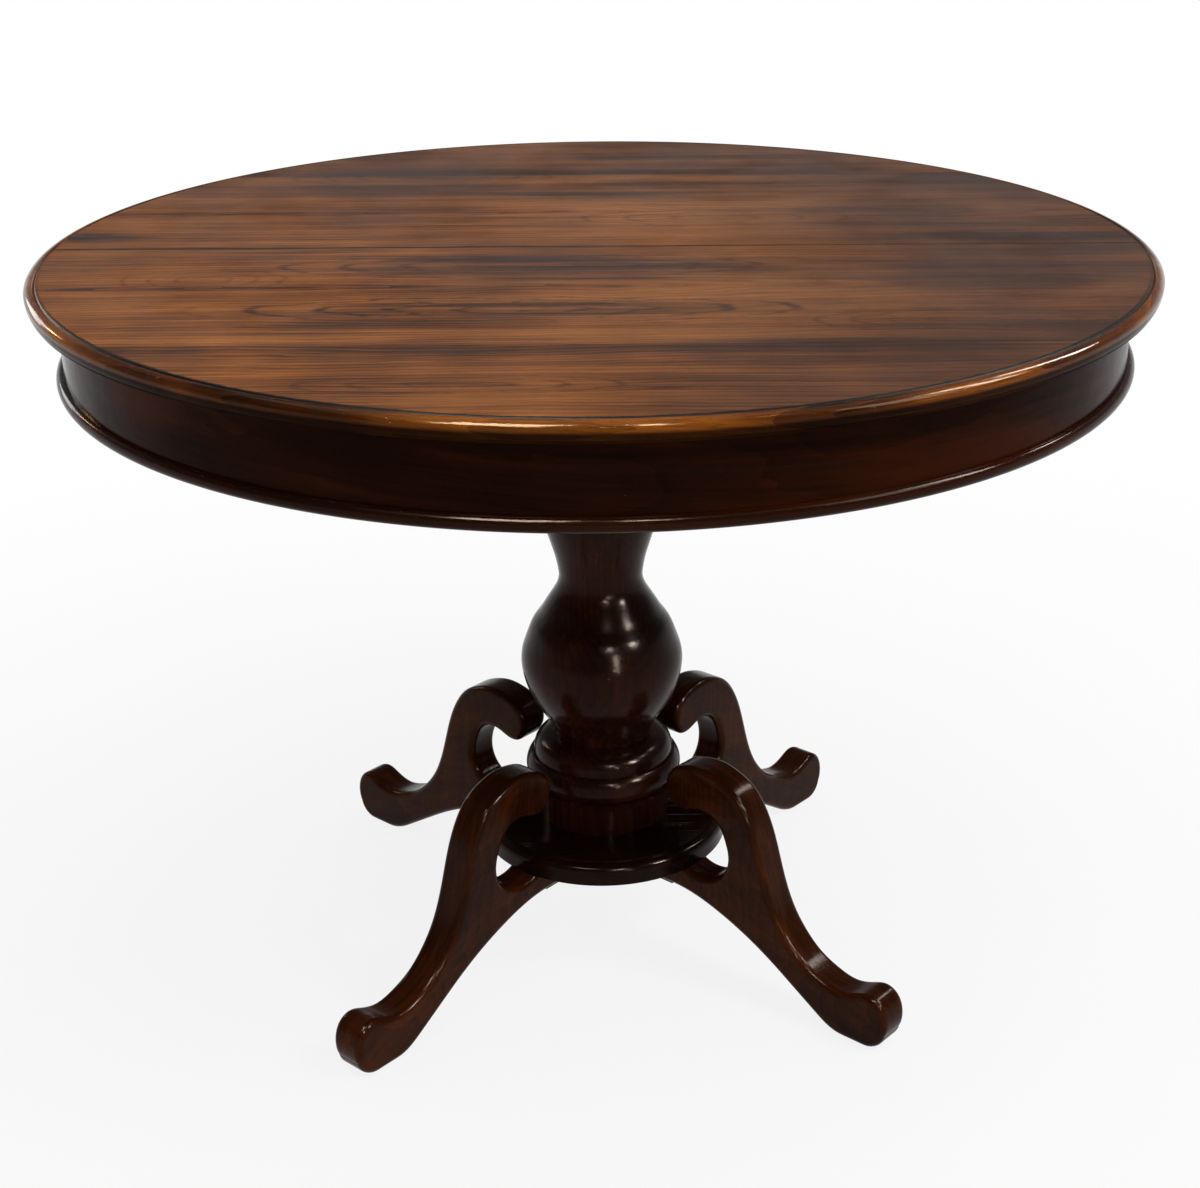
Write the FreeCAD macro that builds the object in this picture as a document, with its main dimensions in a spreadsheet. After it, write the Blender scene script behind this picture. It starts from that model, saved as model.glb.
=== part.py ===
"""Round extending table on a turned pillar with four scroll legs.

Millimetres, +Z up, origin on the floor on the pillar's axis, +X along the seam of the top.
The front half of the top slides towards -Y and the rear half towards +Y.
"""
import FreeCAD, Part
import math
import os
import Sketcher

Vector = FreeCAD.Vector
Turn = FreeCAD.Rotation
UP = Vector(0, 0, 1)
QUARTER = 90
NEAR = 0.05  # two places this close count as one
HALF = 180
FULL = 360

document = FreeCAD.newDocument("RoundExtendingTable")

# Driving dimensions
DIMENSIONS = [
    ("top_radius", 540, "widest radius of the moulded edge"),
    ("top_height", 762, "height of the polished surface"),
    ("board_thickness", 18, "thickness of the top boards"),
    ("edge_width", 10, "width of the bent edge moulding"),
    ("edge_roll", 6, "height of the rounding above the widest point"),
    ("edge_lip", 3, "height of the small fillet under the roll"),
    ("edge_lip_inset", 4, "how far the fillet stands back"),
    ("edge_lip_bulge", 0.5, "how far the curve over the fillet stands back"),
    ("quirk", 1.6, "groove between boards and moulding"),
    ("seam_gap", 0.6, "gap between the two halves"),
    ("seam_bevel", 0.5, "eased corner along the seam"),
    ("outer_board_width", 193, "widest part of an outer board"),
    ("frieze_setback", 27.5, "from the edge's widest point in to the frieze"),
    ("frieze_thickness", 18, "thickness of the frieze"),
    ("frieze_height", 66, "height of the plain frieze"),
    ("bead_height", 13.5, "height of the bead under the frieze"),
    ("bead_projection", 7.5, "how far the bead stands out"),
    ("block_width", 20, "glue block, radially"),
    ("block_height", 24, "glue block, vertically"),
    ("block_sweep", 7, "glue block, degrees of arc"),
    ("bearer_spacing", 240, "between the middles of the bearers"),
    ("bearer_width", 36, "width of a bearer"),
    ("bearer_height", 56, "height of a bearer"),
    ("bearer_end_gap", 19, "from a bearer's end to the frieze"),
    ("slide_clearance", 0.4, "running clearance of the slides"),
    ("runner_width", 30, "width of a runner without its tongue"),
    ("runner_height", 46, "height of a runner"),
    ("runner_end_gap", 8, "from a runner's fixed end to the frieze"),
    ("runner_tail", 30, "length of a runner behind its stop peg"),
    ("tongue_height", 12, "height of the tongue"),
    ("tongue_depth", 8, "how far the tongue stands out"),
    ("tongue_rise", 17, "from the runner's bottom to the tongue"),
    ("stop_peg_radius", 7, "stop dowel"),
    ("stop_peg_length", 26, "stop dowel"),
    ("stop_peg_depth", 13, "how deep the dowel sits in the runner"),
    ("stop_gap", 0.3, "between dowel and head block at full reach"),
    ("peg_rail_gap", 6, "between dowel and cross rail when closed"),
    ("batten_width", 40, "width of a batten"),
    ("batten_thickness", 22, "thickness of a batten"),
    ("batten_end_gap", 16, "from a batten's end to the frieze"),
    ("batten_catch_gap", 21, "from an open catch to the batten"),
    ("batten_seam_gap", 28, "from the seam to the batten"),
    ("head_length", 344, "head block, across the bearers"),
    ("head_depth", 280, "head block, along the bearers"),
    ("head_thickness", 45, "head block"),
    ("head_bevel", 10, "chamfer under the head block"),
    ("rail_width", 50, "cross rail"),
    ("rail_thickness", 20, "cross rail"),
    ("rail_overhang", 14, "cross rail beyond a bearer"),
    ("wedge_thickness", 4, "wedge in the pillar's top spigot"),
    ("wedge_depth", 34, "wedge in the pillar's top spigot"),
    ("top_spigot_radius", 28, "spigot in the head block"),
    ("foot_spigot_radius", 24, "spigot in plinth and hub"),
    ("drum_radius", 69.5, "plain drum above the plinth"),
    ("drum_height", 26, "plain drum above the plinth"),
    ("cove_height", 15, "cove from drum to torus"),
    ("torus_radius", 83, "large ring"),
    ("torus_height", 29, "large ring"),
    ("ring_radius", 74.5, "upper ring"),
    ("ring_height", 26, "upper ring"),
    ("waist_radius", 52, "narrow waist under the bulb"),
    ("waist_fillet", 3, "small square fillet at the waist"),
    ("bulb_radius", 85.3, "pear-shaped bulb"),
    ("bulb_share", 0.209, "level of the widest bulb between waist and cap"),
    ("neck_share", 0.46, "level of the neck between waist and cap"),
    ("collar_share", 0.676, "level of the collar between waist and cap"),
    ("neck_radius", 43.7, "narrowest neck"),
    ("flare_radius", 64, "flare above the neck"),
    ("collar_radius", 72, "collar above the flare"),
    ("collar_height", 16, "collar above the flare"),
    ("shaft_radius", 56, "plain upper shaft"),
    ("cap_radius", 74, "cap under the head block"),
    ("cap_height", 22, "cap under the head block"),
    ("plinth_radius", 132, "round plinth"),
    ("plinth_thickness", 24, "round plinth"),
    ("plinth_bottom", 119, "plinth's underside above the floor"),
    ("plinth_roll", 9, "rounded upper edge of the plinth"),
    ("plinth_step", 2, "small step inside the rounded edge"),
    ("hub_width", 92, "square hub under the plinth"),
    ("hub_thickness", 26, "square hub under the plinth"),
    ("leg_reach", 386, "axis to the outermost point of a foot"),
    ("leg_height", 242, "top of the scroll"),
    ("leg_thickness", 38, "plank thickness"),
    ("leg_round", 7, "rounded arris of a leg"),
    ("leg_round_share", 0.028, "most of the free length that the rounding may take"),
    ("leg_turn", 4.3, "legs turned from the diagonals, degrees"),
    ("tenon_thickness", 14, "leg tenon"),
    ("tenon_height", 16, "leg tenon"),
    ("tenon_length", 18, "leg tenon"),
    ("plate_thickness", 3, "iron cross plate under the hub"),
    ("plate_width", 26, "arm of the cross plate"),
    ("plate_reach", 108, "arm of the cross plate"),
    ("bolt_radius", 5, "coach bolt up the pillar"),
    ("bolt_length", 110, "coach bolt up the pillar"),
    ("bolt_head_radius", 10, "across the corners of the hexagon"),
    ("bolt_head_height", 7, "hexagon head"),
    ("screw_radius", 2.4, "wood screw shank"),
    ("screw_head_radius", 4.8, "wood screw head"),
    ("screw_head_height", 3.2, "wood screw head"),
    ("screw_bite", 12, "depth of a screw in the last piece"),
    ("counterbore_radius", 6.5, "hole for a runner screw's head"),
    ("counterbore_depth", 22, "hole for a runner screw's head"),
    ("hole_clearance", 0.05, "between a screw and its hole"),
    ("seam_peg_radius", 4, "dowel across the seam"),
    ("seam_peg_length", 36, "dowel across the seam"),
    ("seam_peg_spacing", 300, "between the seam dowels"),
    ("seam_peg_clearance", 0.4, "play of a dowel in the rear half"),
    ("catch_place", 232, "catch pivot from the table's middle"),
    ("catch_setback", 30, "catch pivot from the seam"),
    ("catch_reach", 52, "catch pivot to the keeper screw"),
    ("catch_width", 16, "brass catch"),
    ("catch_thickness", 2.5, "brass catch"),
    ("catch_gap", 0.3, "running clearance of the catch"),
    ("catch_tip", 10, "catch beyond the keeper screw"),
    ("keeper_radius", 2.5, "keeper and pivot screws"),
    ("keeper_head_radius", 5.5, "keeper and pivot screws"),
    ("keeper_head_height", 2.5, "keeper and pivot screws"),
]

# Places that follow from the driving dimensions
PLACES = [
    ("underside", "Sizes.top_height - Sizes.board_thickness"),
    ("field_radius", "Sizes.top_radius - Sizes.edge_width"),
    ("half_offset", "Sizes.seam_gap / 2"),
    ("leg_rounding",
     "min(Sizes.leg_round; (Sizes.leg_reach - Sizes.plinth_radius) * Sizes.leg_round_share)"),
    ("edge_widest", "Sizes.top_height - Sizes.edge_roll"),
    ("roll_width", "Sizes.edge_width - Sizes.quirk"),
    ("roll_chord", "sqrt(roll_width^2 + Sizes.edge_roll^2)"),
    ("roll_sag", "roll_chord * (roll_chord - roll_width) / (2 * Sizes.edge_roll)"),
    ("lip_radius", "Sizes.top_radius - Sizes.edge_lip_inset"),
    ("lip_top", "underside + Sizes.edge_lip"),
    ("board_joint", "field_radius - Sizes.outer_board_width"),
    ("frieze_radius", "Sizes.top_radius - Sizes.frieze_setback"),
    ("frieze_inner", "frieze_radius - Sizes.frieze_thickness"),
    ("bead_top", "underside - Sizes.frieze_height"),
    ("bead_bottom", "bead_top - Sizes.bead_height"),
    ("bead_radius", "frieze_radius + Sizes.bead_projection"),
    ("bead_roll", "Sizes.bead_height / 2"),
    ("bearer_top", "underside - Sizes.slide_clearance"),
    ("bearer_bottom", "bearer_top - Sizes.bearer_height"),
    ("bearer_inside", "Sizes.bearer_spacing / 2 - Sizes.bearer_width / 2"),
    ("bearer_outside", "Sizes.bearer_spacing / 2 + Sizes.bearer_width / 2"),
    ("bearer_half", "sqrt(frieze_inner^2 - bearer_outside^2) - Sizes.bearer_end_gap"),
    ("runner_bottom", "underside - Sizes.runner_height"),
    ("tongue_bottom", "runner_bottom + Sizes.tongue_rise"),
    ("tongue_top", "tongue_bottom + Sizes.tongue_height"),
    ("groove_depth", "Sizes.tongue_depth + Sizes.slide_clearance"),
    ("groove_bottom", "tongue_bottom - Sizes.slide_clearance"),
    ("groove_top", "tongue_top + Sizes.slide_clearance"),
    ("stop_peg_place",
     "bearer_half - Sizes.rail_width - Sizes.peg_rail_gap - Sizes.stop_peg_radius"),
    ("travel",
     "stop_peg_place - Sizes.head_depth / 2 - Sizes.stop_peg_radius - Sizes.stop_gap - half_offset"),
    ("tail_end", "stop_peg_place + Sizes.stop_peg_radius + Sizes.runner_tail"),
    ("outer_runner", "bearer_outside + Sizes.slide_clearance"),
    ("outer_runner_middle", "outer_runner + Sizes.runner_width / 2"),
    ("outer_runner_end",
     "sqrt(frieze_inner^2 - (outer_runner + Sizes.runner_width)^2) - Sizes.runner_end_gap"),
    ("inner_runner", "bearer_inside - Sizes.slide_clearance"),
    ("inner_runner_middle", "inner_runner - Sizes.runner_width / 2"),
    ("inner_runner_end", "sqrt(frieze_inner^2 - inner_runner^2) - Sizes.runner_end_gap"),
    ("batten_near",
     "Sizes.catch_place + Sizes.catch_reach + Sizes.catch_tip + Sizes.batten_catch_gap"),
    ("batten_middle", "batten_near + Sizes.batten_width / 2"),
    ("batten_end", "sqrt(frieze_inner^2 - (batten_near + Sizes.batten_width)^2) - Sizes.batten_end_gap"),
    ("batten_length", "batten_end - Sizes.batten_seam_gap"),
    ("rail_bottom", "bearer_bottom - Sizes.rail_thickness"),
    ("rail_half", "bearer_outside + Sizes.rail_overhang"),
    ("rail_place", "bearer_half - Sizes.rail_width / 2"),
    ("head_bottom", "bearer_bottom - Sizes.head_thickness"),
    ("plinth_top", "Sizes.plinth_bottom + Sizes.plinth_thickness"),
    ("hub_bottom", "Sizes.plinth_bottom - Sizes.hub_thickness"),
    ("hub_half", "Sizes.hub_width / 2"),
    ("tenon_bottom", "hub_bottom + (Sizes.hub_thickness - Sizes.tenon_height) / 2"),
    ("drum_top", "plinth_top + Sizes.drum_height"),
    ("torus_bottom", "drum_top + Sizes.cove_height"),
    ("torus_top", "torus_bottom + Sizes.torus_height"),
    ("ring_top", "torus_top + Sizes.ring_height"),
    ("waist_level", "ring_top + Sizes.waist_fillet"),
    ("cap_bottom", "head_bottom - Sizes.cap_height"),
    ("baluster_height", "cap_bottom - waist_level"),
    ("bulb_level", "waist_level + baluster_height * Sizes.bulb_share"),
    ("neck_level", "waist_level + baluster_height * Sizes.neck_share"),
    ("collar_bottom", "waist_level + baluster_height * Sizes.collar_share"),
    ("collar_top", "collar_bottom + Sizes.collar_height"),
    ("plate_bottom", "hub_bottom - Sizes.plate_thickness"),
    ("catch_top", "underside - Sizes.catch_gap"),
    ("catch_bottom", "catch_top - Sizes.catch_thickness"),
    ("keeper_head_top", "catch_bottom - Sizes.catch_gap"),
    ("keeper_head_bottom", "keeper_head_top - Sizes.keeper_head_height"),
    ("keeper_place", "Sizes.catch_reach - Sizes.catch_setback"),
]


def fill_sheet(name, rows):
    """A spreadsheet with one aliased value to a row."""
    sheet = document.addObject("Spreadsheet::Sheet", name)
    for number, row in enumerate(rows, start=1):
        sheet.set(f"A{number}", row[0])
        sheet.set(f"B{number}", str(row[1]))
        sheet.setAlias(f"B{number}", row[0])
        if len(row) > 2:
            sheet.set(f"C{number}", row[2])
    document.recompute()
    return sheet


sizes = fill_sheet("Sizes", DIMENSIONS)
places = fill_sheet("Places", [(alias, "=" + formula) for alias, formula in PLACES])


def size(alias):
    return float(sizes.get(alias))


def place(alias):
    return float(places.get(alias))


pieces = {}


def keep(name, item):
    """Name a finished sub-part."""
    item.Label = name
    pieces[name] = item
    return item


# Helpers for sketches, bodies and drilled pieces
def origin_plane(body, role):
    for feature in body.Origin.OriginFeatures:
        if feature.Role == role:
            return feature


def bind(item, **expressions):
    """Tie properties to sheet expressions; a double underscore stands for a dot."""
    for name, expression in expressions.items():
        item.setExpression(name.replace("__", "."), expression)
    return item


def new_sketch(body, plane, offset=None):
    sketch = body.newObject("Sketcher::SketchObject", body.Name + "_outline")
    sketch.AttachmentSupport = (origin_plane(body, plane), [""])
    sketch.MapMode = "FlatFace"
    if offset:
        sketch.setExpression("AttachmentOffset.Base.z", offset)
    return sketch


def pin(sketch, edge, end, along, expression):
    """Hold one end of a sketch edge at a sheet value from the sketch's origin."""
    kind = ("DistanceX", "DistanceY")[along]
    number = float(sketch.evalExpression(expression))
    if number < 0:
        index = sketch.addConstraint(Sketcher.Constraint(kind, edge, end, -1, 1, -number))
        expression = f"-({expression})"
    else:
        index = sketch.addConstraint(Sketcher.Constraint(kind, -1, 1, edge, end, number))
    sketch.setExpression(f"Constraints[{index}]", expression)


def draw(sketch, steps):
    """A closed outline of lines and arcs whose corners are pairs of sheet expressions.

    Each step is (corner,) for a line from that corner, or (corner, middle) for an arc
    that passes through the middle point on its way to the next corner.
    """
    def spot(pair):
        return Vector(*[float(sketch.evalExpression(part)) for part in pair], 0)

    edges = []
    for number, step in enumerate(steps):
        start = spot(step[0])
        stop = spot(steps[(number + 1) % len(steps)][0])
        if len(step) == 1:
            edges.append(sketch.addGeometry(Part.LineSegment(start, stop), False))
        else:
            edges.append(sketch.addGeometry(Part.Arc(start, spot(step[1]), stop), False))
    # An arc drawn clockwise is stored turned round, so its ends are read from the sketch.
    ends = []
    for number, step in enumerate(steps):
        start = spot(step[0])
        first = sketch.getPoint(edges[number], 1)
        ends.append((1, 2) if first.distanceToPoint(start) < NEAR else (2, 1))
    for number, step in enumerate(steps):
        after = (number + 1) % len(steps)
        sketch.addConstraint(Sketcher.Constraint(
            "Coincident", edges[number], ends[number][1], edges[after], ends[after][0]))
    for number, step in enumerate(steps):
        for along in (0, 1):
            pin(sketch, edges[number], ends[number][0], along, step[0][along])
        if len(step) > 1:
            middle = sketch.addGeometry(Part.Point(spot(step[1])), True)
            for along in (0, 1):
                pin(sketch, middle, 1, along, step[1][along])
            sketch.addConstraint(
                Sketcher.Constraint("PointOnObject", middle, 1, edges[number]))
    return sketch


def new_body(name):
    return document.addObject("PartDesign::Body", name)


def padded(body, sketch, length, symmetric=False, flip=False):
    pad = body.newObject("PartDesign::Pad", body.Name + "_pad")
    pad.Profile = sketch
    if symmetric:
        pad.SideType = "Symmetric"
    pad.Reversed = flip
    pad.setExpression("Length", length)
    document.recompute()
    return pad


def revolved(body, sketch, angle, flip=False):
    turned = body.newObject("PartDesign::Revolution", body.Name + "_revolution")
    turned.Profile = sketch
    turned.ReferenceAxis = (sketch, ["V_Axis"])
    turned.Angle = angle
    turned.Reversed = flip
    document.recompute()
    return turned


def edges_of(feature, test):
    """Names of the edges whose shape passes the test."""
    return [f"Edge{number}" for number, edge in enumerate(feature.Shape.Edges, start=1)
            if test(edge)]


def dressed(body, feature, kind, names, amount):
    """A fillet or chamfer on the named edges."""
    prop = {"Fillet": "Radius", "Chamfer": "Size"}[kind]
    item = body.newObject(f"PartDesign::{kind}", body.Name + "_" + kind.lower())
    item.Base = (feature, names)
    item.setExpression(prop, amount)
    document.recompute()
    return item


def cutter(name, shapes):
    """The joined shape of all holes and housings in one set of pieces."""
    tool = document.addObject("Part::Feature", name)
    tool.Shape = Part.makeCompound(shapes)
    return tool


def cut_from(name, blank, tool):
    cut = document.addObject("Part::Cut", name + "_worked")
    cut.Base = blank
    cut.Tool = tool
    cut.Refine = True
    return keep(name, cut)


def feature_of(name, shapes):
    """A sub-part that is a group of separate solids."""
    item = document.addObject("Part::Feature", name + "_group")
    item.Shape = Part.makeCompound(shapes)
    return keep(name, item)


def box(name, length, width, height, corner):
    """A rectangular block bound to the sheet by its low corner."""
    block = document.addObject("Part::Box", name)
    bind(block, Length=length, Width=width, Height=height,
         Placement__Base__x=corner[0], Placement__Base__y=corner[1], Placement__Base__z=corner[2])
    return block


def wood_screw(point, length, extra=0, up=UP):
    """Countersunk screw whose head is flush with the point, driven along up."""
    shank = Part.makeCylinder(size("screw_radius") + extra, length + extra, point, up)
    head = Part.makeCone(size("screw_head_radius") + extra, size("screw_radius") + extra,
                         size("screw_head_height"), point, up)
    return shank.fuse(head).removeSplitter()


def round_screw(x, y, extra=0):
    """Round-head screw up into the boards, as used at the catches."""
    head_bottom = place("keeper_head_bottom")
    head = Part.makeCylinder(size("keeper_head_radius"), size("keeper_head_height"),
                             Vector(x, y, head_bottom), UP)
    shank = Part.makeCylinder(size("keeper_radius") + extra,
                              place("underside") + size("screw_bite") + extra - head_bottom,
                              Vector(x, y, head_bottom), UP)
    return head.fuse(shank).removeSplitter()


def seat_half(item, side):
    """Set a piece of one half of the top on its own side of the seam."""
    if side == "rear":
        item.Placement = FreeCAD.Placement(Vector(), Turn(UP, HALF))
        item.setExpression("Placement.Base.y", "Places.half_offset")
    else:
        item.setExpression("Placement.Base.y", "-Places.half_offset")
    return item


# The turned pillar
def stretch(start, stop, shares):
    """Points between two (radius, level) pairs at shares of the way from one to the other."""
    return [Vector(start[0] + (stop[0] - start[0]) * across,
                   start[1] + (stop[1] - start[1]) * along, 0) for across, along in shares]


def make_pillar():
    plain = {name: size(name) for name in (
        "drum_radius", "torus_radius", "ring_radius", "waist_radius", "bulb_radius", "neck_radius",
        "flare_radius", "collar_radius", "shaft_radius", "cap_radius")}
    level = {name: place(name) for name in (
        "hub_bottom", "plinth_top", "drum_top", "torus_bottom", "torus_top", "ring_top",
        "waist_level", "bulb_level", "neck_level", "collar_bottom", "collar_top",
        "cap_bottom", "head_bottom", "bearer_bottom")}
    torus_neck_share = 0.55
    torus_neck = plain["drum_radius"] + (plain["torus_radius"] - plain["drum_radius"]) * torus_neck_share
    torus_middle = (level["torus_bottom"] + level["torus_top"]) / 2
    ring_shares = [(0, 0.08), (0.04, 0.35), (0.2, 0.62), (0.5, 0.83), (0.86, 0.97)]
    lower_bulb_shares = [(0, 0), (0.13, 0.11), (0.37, 0.27), (0.57, 0.4), (0.74, 0.54),
                         (0.88, 0.7), (0.97, 0.86), (1, 1)]
    upper_bulb_shares = [(0, 0), (0.04, 0.14), (0.14, 0.27), (0.31, 0.45), (0.5, 0.57),
                         (0.67, 0.69), (0.83, 0.8), (0.95, 0.9), (1, 1)]
    flare_shares = [(0, 0), (0.04, 0.11), (0.14, 0.24), (0.33, 0.41), (0.62, 0.64), (1, 1)]
    shaft_shares = [(0, 0), (0.6, 0.1), (0.95, 0.28), (1, 0.5)]
    cap_shares = [(0, 0), (0.12, 0.45), (0.55, 0.85), (1, 1)]

    sketch_edges = []

    def line(start, stop):
        sketch_edges.append(Part.LineSegment(Vector(*start, 0), Vector(*stop, 0)))

    def curve(points):
        spline = Part.BSplineCurve()
        spline.interpolate(Points=points)
        sketch_edges.append(spline)

    spigot = size("foot_spigot_radius")
    top_spigot = size("top_spigot_radius")
    line((0, level["hub_bottom"]), (spigot, level["hub_bottom"]))
    line((spigot, level["hub_bottom"]), (spigot, level["plinth_top"]))
    line((spigot, level["plinth_top"]), (plain["drum_radius"], level["plinth_top"]))
    line((plain["drum_radius"], level["plinth_top"]), (plain["drum_radius"], level["drum_top"]))
    cove_shares = [(0, 0), (0.12, 0.45), (0.45, 0.8), (1, 1)]
    curve(stretch((plain["drum_radius"], level["drum_top"]),
                  (torus_neck, level["torus_bottom"]), cove_shares))
    sketch_edges.append(Part.Arc(Vector(torus_neck, level["torus_bottom"], 0),
                                 Vector(plain["torus_radius"], torus_middle, 0),
                                 Vector(torus_neck, level["torus_top"], 0)))
    line((torus_neck, level["torus_top"]), (plain["ring_radius"], level["torus_top"]))
    ring = stretch((plain["ring_radius"], level["torus_top"]),
                   (plain["waist_radius"], level["ring_top"]), [(0, 0)] + ring_shares + [(1, 1)])
    curve(ring)
    line((plain["waist_radius"], level["ring_top"]), (plain["waist_radius"], level["waist_level"]))
    curve(stretch((plain["waist_radius"], level["waist_level"]),
                  (plain["bulb_radius"], level["bulb_level"]), lower_bulb_shares)[:-1]
          + stretch((plain["bulb_radius"], level["bulb_level"]),
                    (plain["neck_radius"], level["neck_level"]), upper_bulb_shares)[:-1]
          + stretch((plain["neck_radius"], level["neck_level"]),
                    (plain["flare_radius"], level["collar_bottom"]), flare_shares))
    collar_middle = (level["collar_bottom"] + level["collar_top"]) / 2
    sketch_edges.append(Part.Arc(Vector(plain["flare_radius"], level["collar_bottom"], 0),
                                 Vector(plain["collar_radius"], collar_middle, 0),
                                 Vector(plain["flare_radius"], level["collar_top"], 0)))
    shaft_middle = (level["collar_top"] + level["cap_bottom"]) / 2
    curve(stretch((plain["flare_radius"], level["collar_top"]),
                  (plain["shaft_radius"], level["cap_bottom"]), shaft_shares))
    line((plain["shaft_radius"], shaft_middle), (plain["shaft_radius"], level["cap_bottom"]))
    curve(stretch((plain["shaft_radius"], level["cap_bottom"]),
                  (plain["cap_radius"], level["head_bottom"]), cap_shares))
    line((plain["cap_radius"], level["head_bottom"]), (top_spigot, level["head_bottom"]))
    line((top_spigot, level["head_bottom"]), (top_spigot, level["bearer_bottom"]))
    line((top_spigot, level["bearer_bottom"]), (0, level["bearer_bottom"]))
    line((0, level["bearer_bottom"]), (0, level["hub_bottom"]))

    body = new_body("pillar_body")
    sketch = new_sketch(body, "XZ_Plane")
    sketch.addGeometry(sketch_edges, False)
    revolved(body, sketch, FULL)
    kerf_width = size("wedge_thickness")
    kerf = Part.makeBox(2 * top_spigot, kerf_width, size("wedge_depth"),
                        Vector(-top_spigot, -kerf_width / 2,
                               place("bearer_bottom") - size("wedge_depth")))
    bore = bolt_rod(size("hole_clearance"))
    return cut_from("pillar", body, cutter("pillar_holes", [kerf, bore]))


def bolt_rod(extra=0):
    """Shank of the coach bolt, from the plate's underside up the pillar."""
    return Part.makeCylinder(size("bolt_radius") + extra, size("bolt_length") + extra,
                             Vector(0, 0, place("plate_bottom")), UP)


# Plinth, hub and legs
LEG_NAMES = ("leg_rear_right", "leg_rear_left", "leg_front_left", "leg_front_right")
PLATE_SCREW_SHARES = (0.62, 0.9)


def leg_angle(number):
    return QUARTER / 2 + size("leg_turn") + QUARTER * number


def make_plinth():
    body = new_body("plinth_body")
    sketch = new_sketch(body, "XZ_Plane")
    low, high, radius = "Sizes.plinth_bottom", "Places.plinth_top", "Sizes.plinth_radius"
    inner = f"{radius} - Sizes.plinth_roll"
    shoulder = f"{high} - Sizes.plinth_step - Sizes.plinth_roll"
    slant = math.sqrt(2) / 2
    draw(sketch, [
        (("Sizes.foot_spigot_radius", low),),
        ((radius, low),),
        ((radius, shoulder), (f"{inner} + Sizes.plinth_roll * {slant}",
                              f"{shoulder} + Sizes.plinth_roll * {slant}")),
        ((inner, f"{high} - Sizes.plinth_step"),),
        ((inner, high),),
        (("Sizes.foot_spigot_radius", high),),
    ])
    revolved(body, sketch, FULL)
    return cut_from("plinth", body, cutter("plinth_holes", plate_screws(size("hole_clearance"))))


def plate_screws(extra=0):
    """Two screws through each arm of the iron plate, a leg's root and into the plinth."""
    length = size("plate_thickness") + size("hub_thickness") + size("screw_bite")
    screws = []
    for number in range(len(LEG_NAMES)):
        direction = Turn(UP, leg_angle(number)).multVec(Vector(1, 0, 0))
        for share in PLATE_SCREW_SHARES:
            point = direction * (size("plate_reach") * share)
            point.z = place("plate_bottom")
            screws.append(wood_screw(point, length, extra))
    return screws


def turned_box(length, width, height, low, near, angle):
    """A box that starts near the axis and points outwards at an angle."""
    block = Part.makeBox(length, width, height, Vector(near, -width / 2, low))
    block.rotate(Vector(), UP, angle)
    return block


def make_hub():
    block = box("hub_block", "Sizes.hub_width", "Sizes.hub_width", "Sizes.hub_thickness",
                ("-Places.hub_half", "-Places.hub_half", "Places.hub_bottom"))
    spigot_hole = Part.makeCylinder(size("foot_spigot_radius"), size("hub_thickness"),
                                    Vector(0, 0, place("hub_bottom")), UP)
    mortises = [turned_box(size("tenon_length"), size("tenon_thickness"), size("tenon_height"),
                           place("tenon_bottom"), place("hub_half") - size("tenon_length"),
                           QUARTER * number) for number in range(len(LEG_NAMES))]
    hub = cut_from("hub", block, cutter("hub_holes", [spigot_hole] + mortises))
    hub.Placement = FreeCAD.Placement(Vector(), Turn(UP, leg_angle(0)))
    return hub


# Shares of the leg's reach, and of its height above (scroll) or below (shin) the plinth's underside
SCROLL_NOTCH_SHARES = [(0.081, -0.021), (0.135, 0.016), (0.187, 0.114), (0.205, 0.26),
                       (0.187, 0.419), (0.155, 0.537), (0.105, 0.602), (0.038, 0.602),
                       (-0.024, 0.561)]
SCROLL_TIP_SHARES = [(-0.068, 0.565), (-0.106, 0.642), (-0.122, 0.744), (-0.108, 0.854),
                     (-0.065, 0.939), (0.005, 0.988), (0.082, 1), (0.167, 0.958),
                     (0.245, 0.872), (0.302, 0.732), (0.348, 0.539), (0.381, 0.333),
                     (0.413, 0.122)]
SHIN_SHARES = [(0.471, 0.853), (0.533, 0.681), (0.605, 0.549), (0.685, 0.469), (0.771, 0.429),
               (0.853, 0.471), (0.918, 0.514), (0.971, 0.466), (1, 0.345), (0.991, 0.16)]
SOLE_SHARES = (0.9, 0.8)
BELLY_SHARES = [(0.735, 0.025), (0.658, 0.115), (0.544, 0.27), (0.423, 0.43), (0.301, 0.565),
                (0.179, 0.67), (0.05, 0.75)]
ROOT_END_SHARE = -0.079


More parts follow.
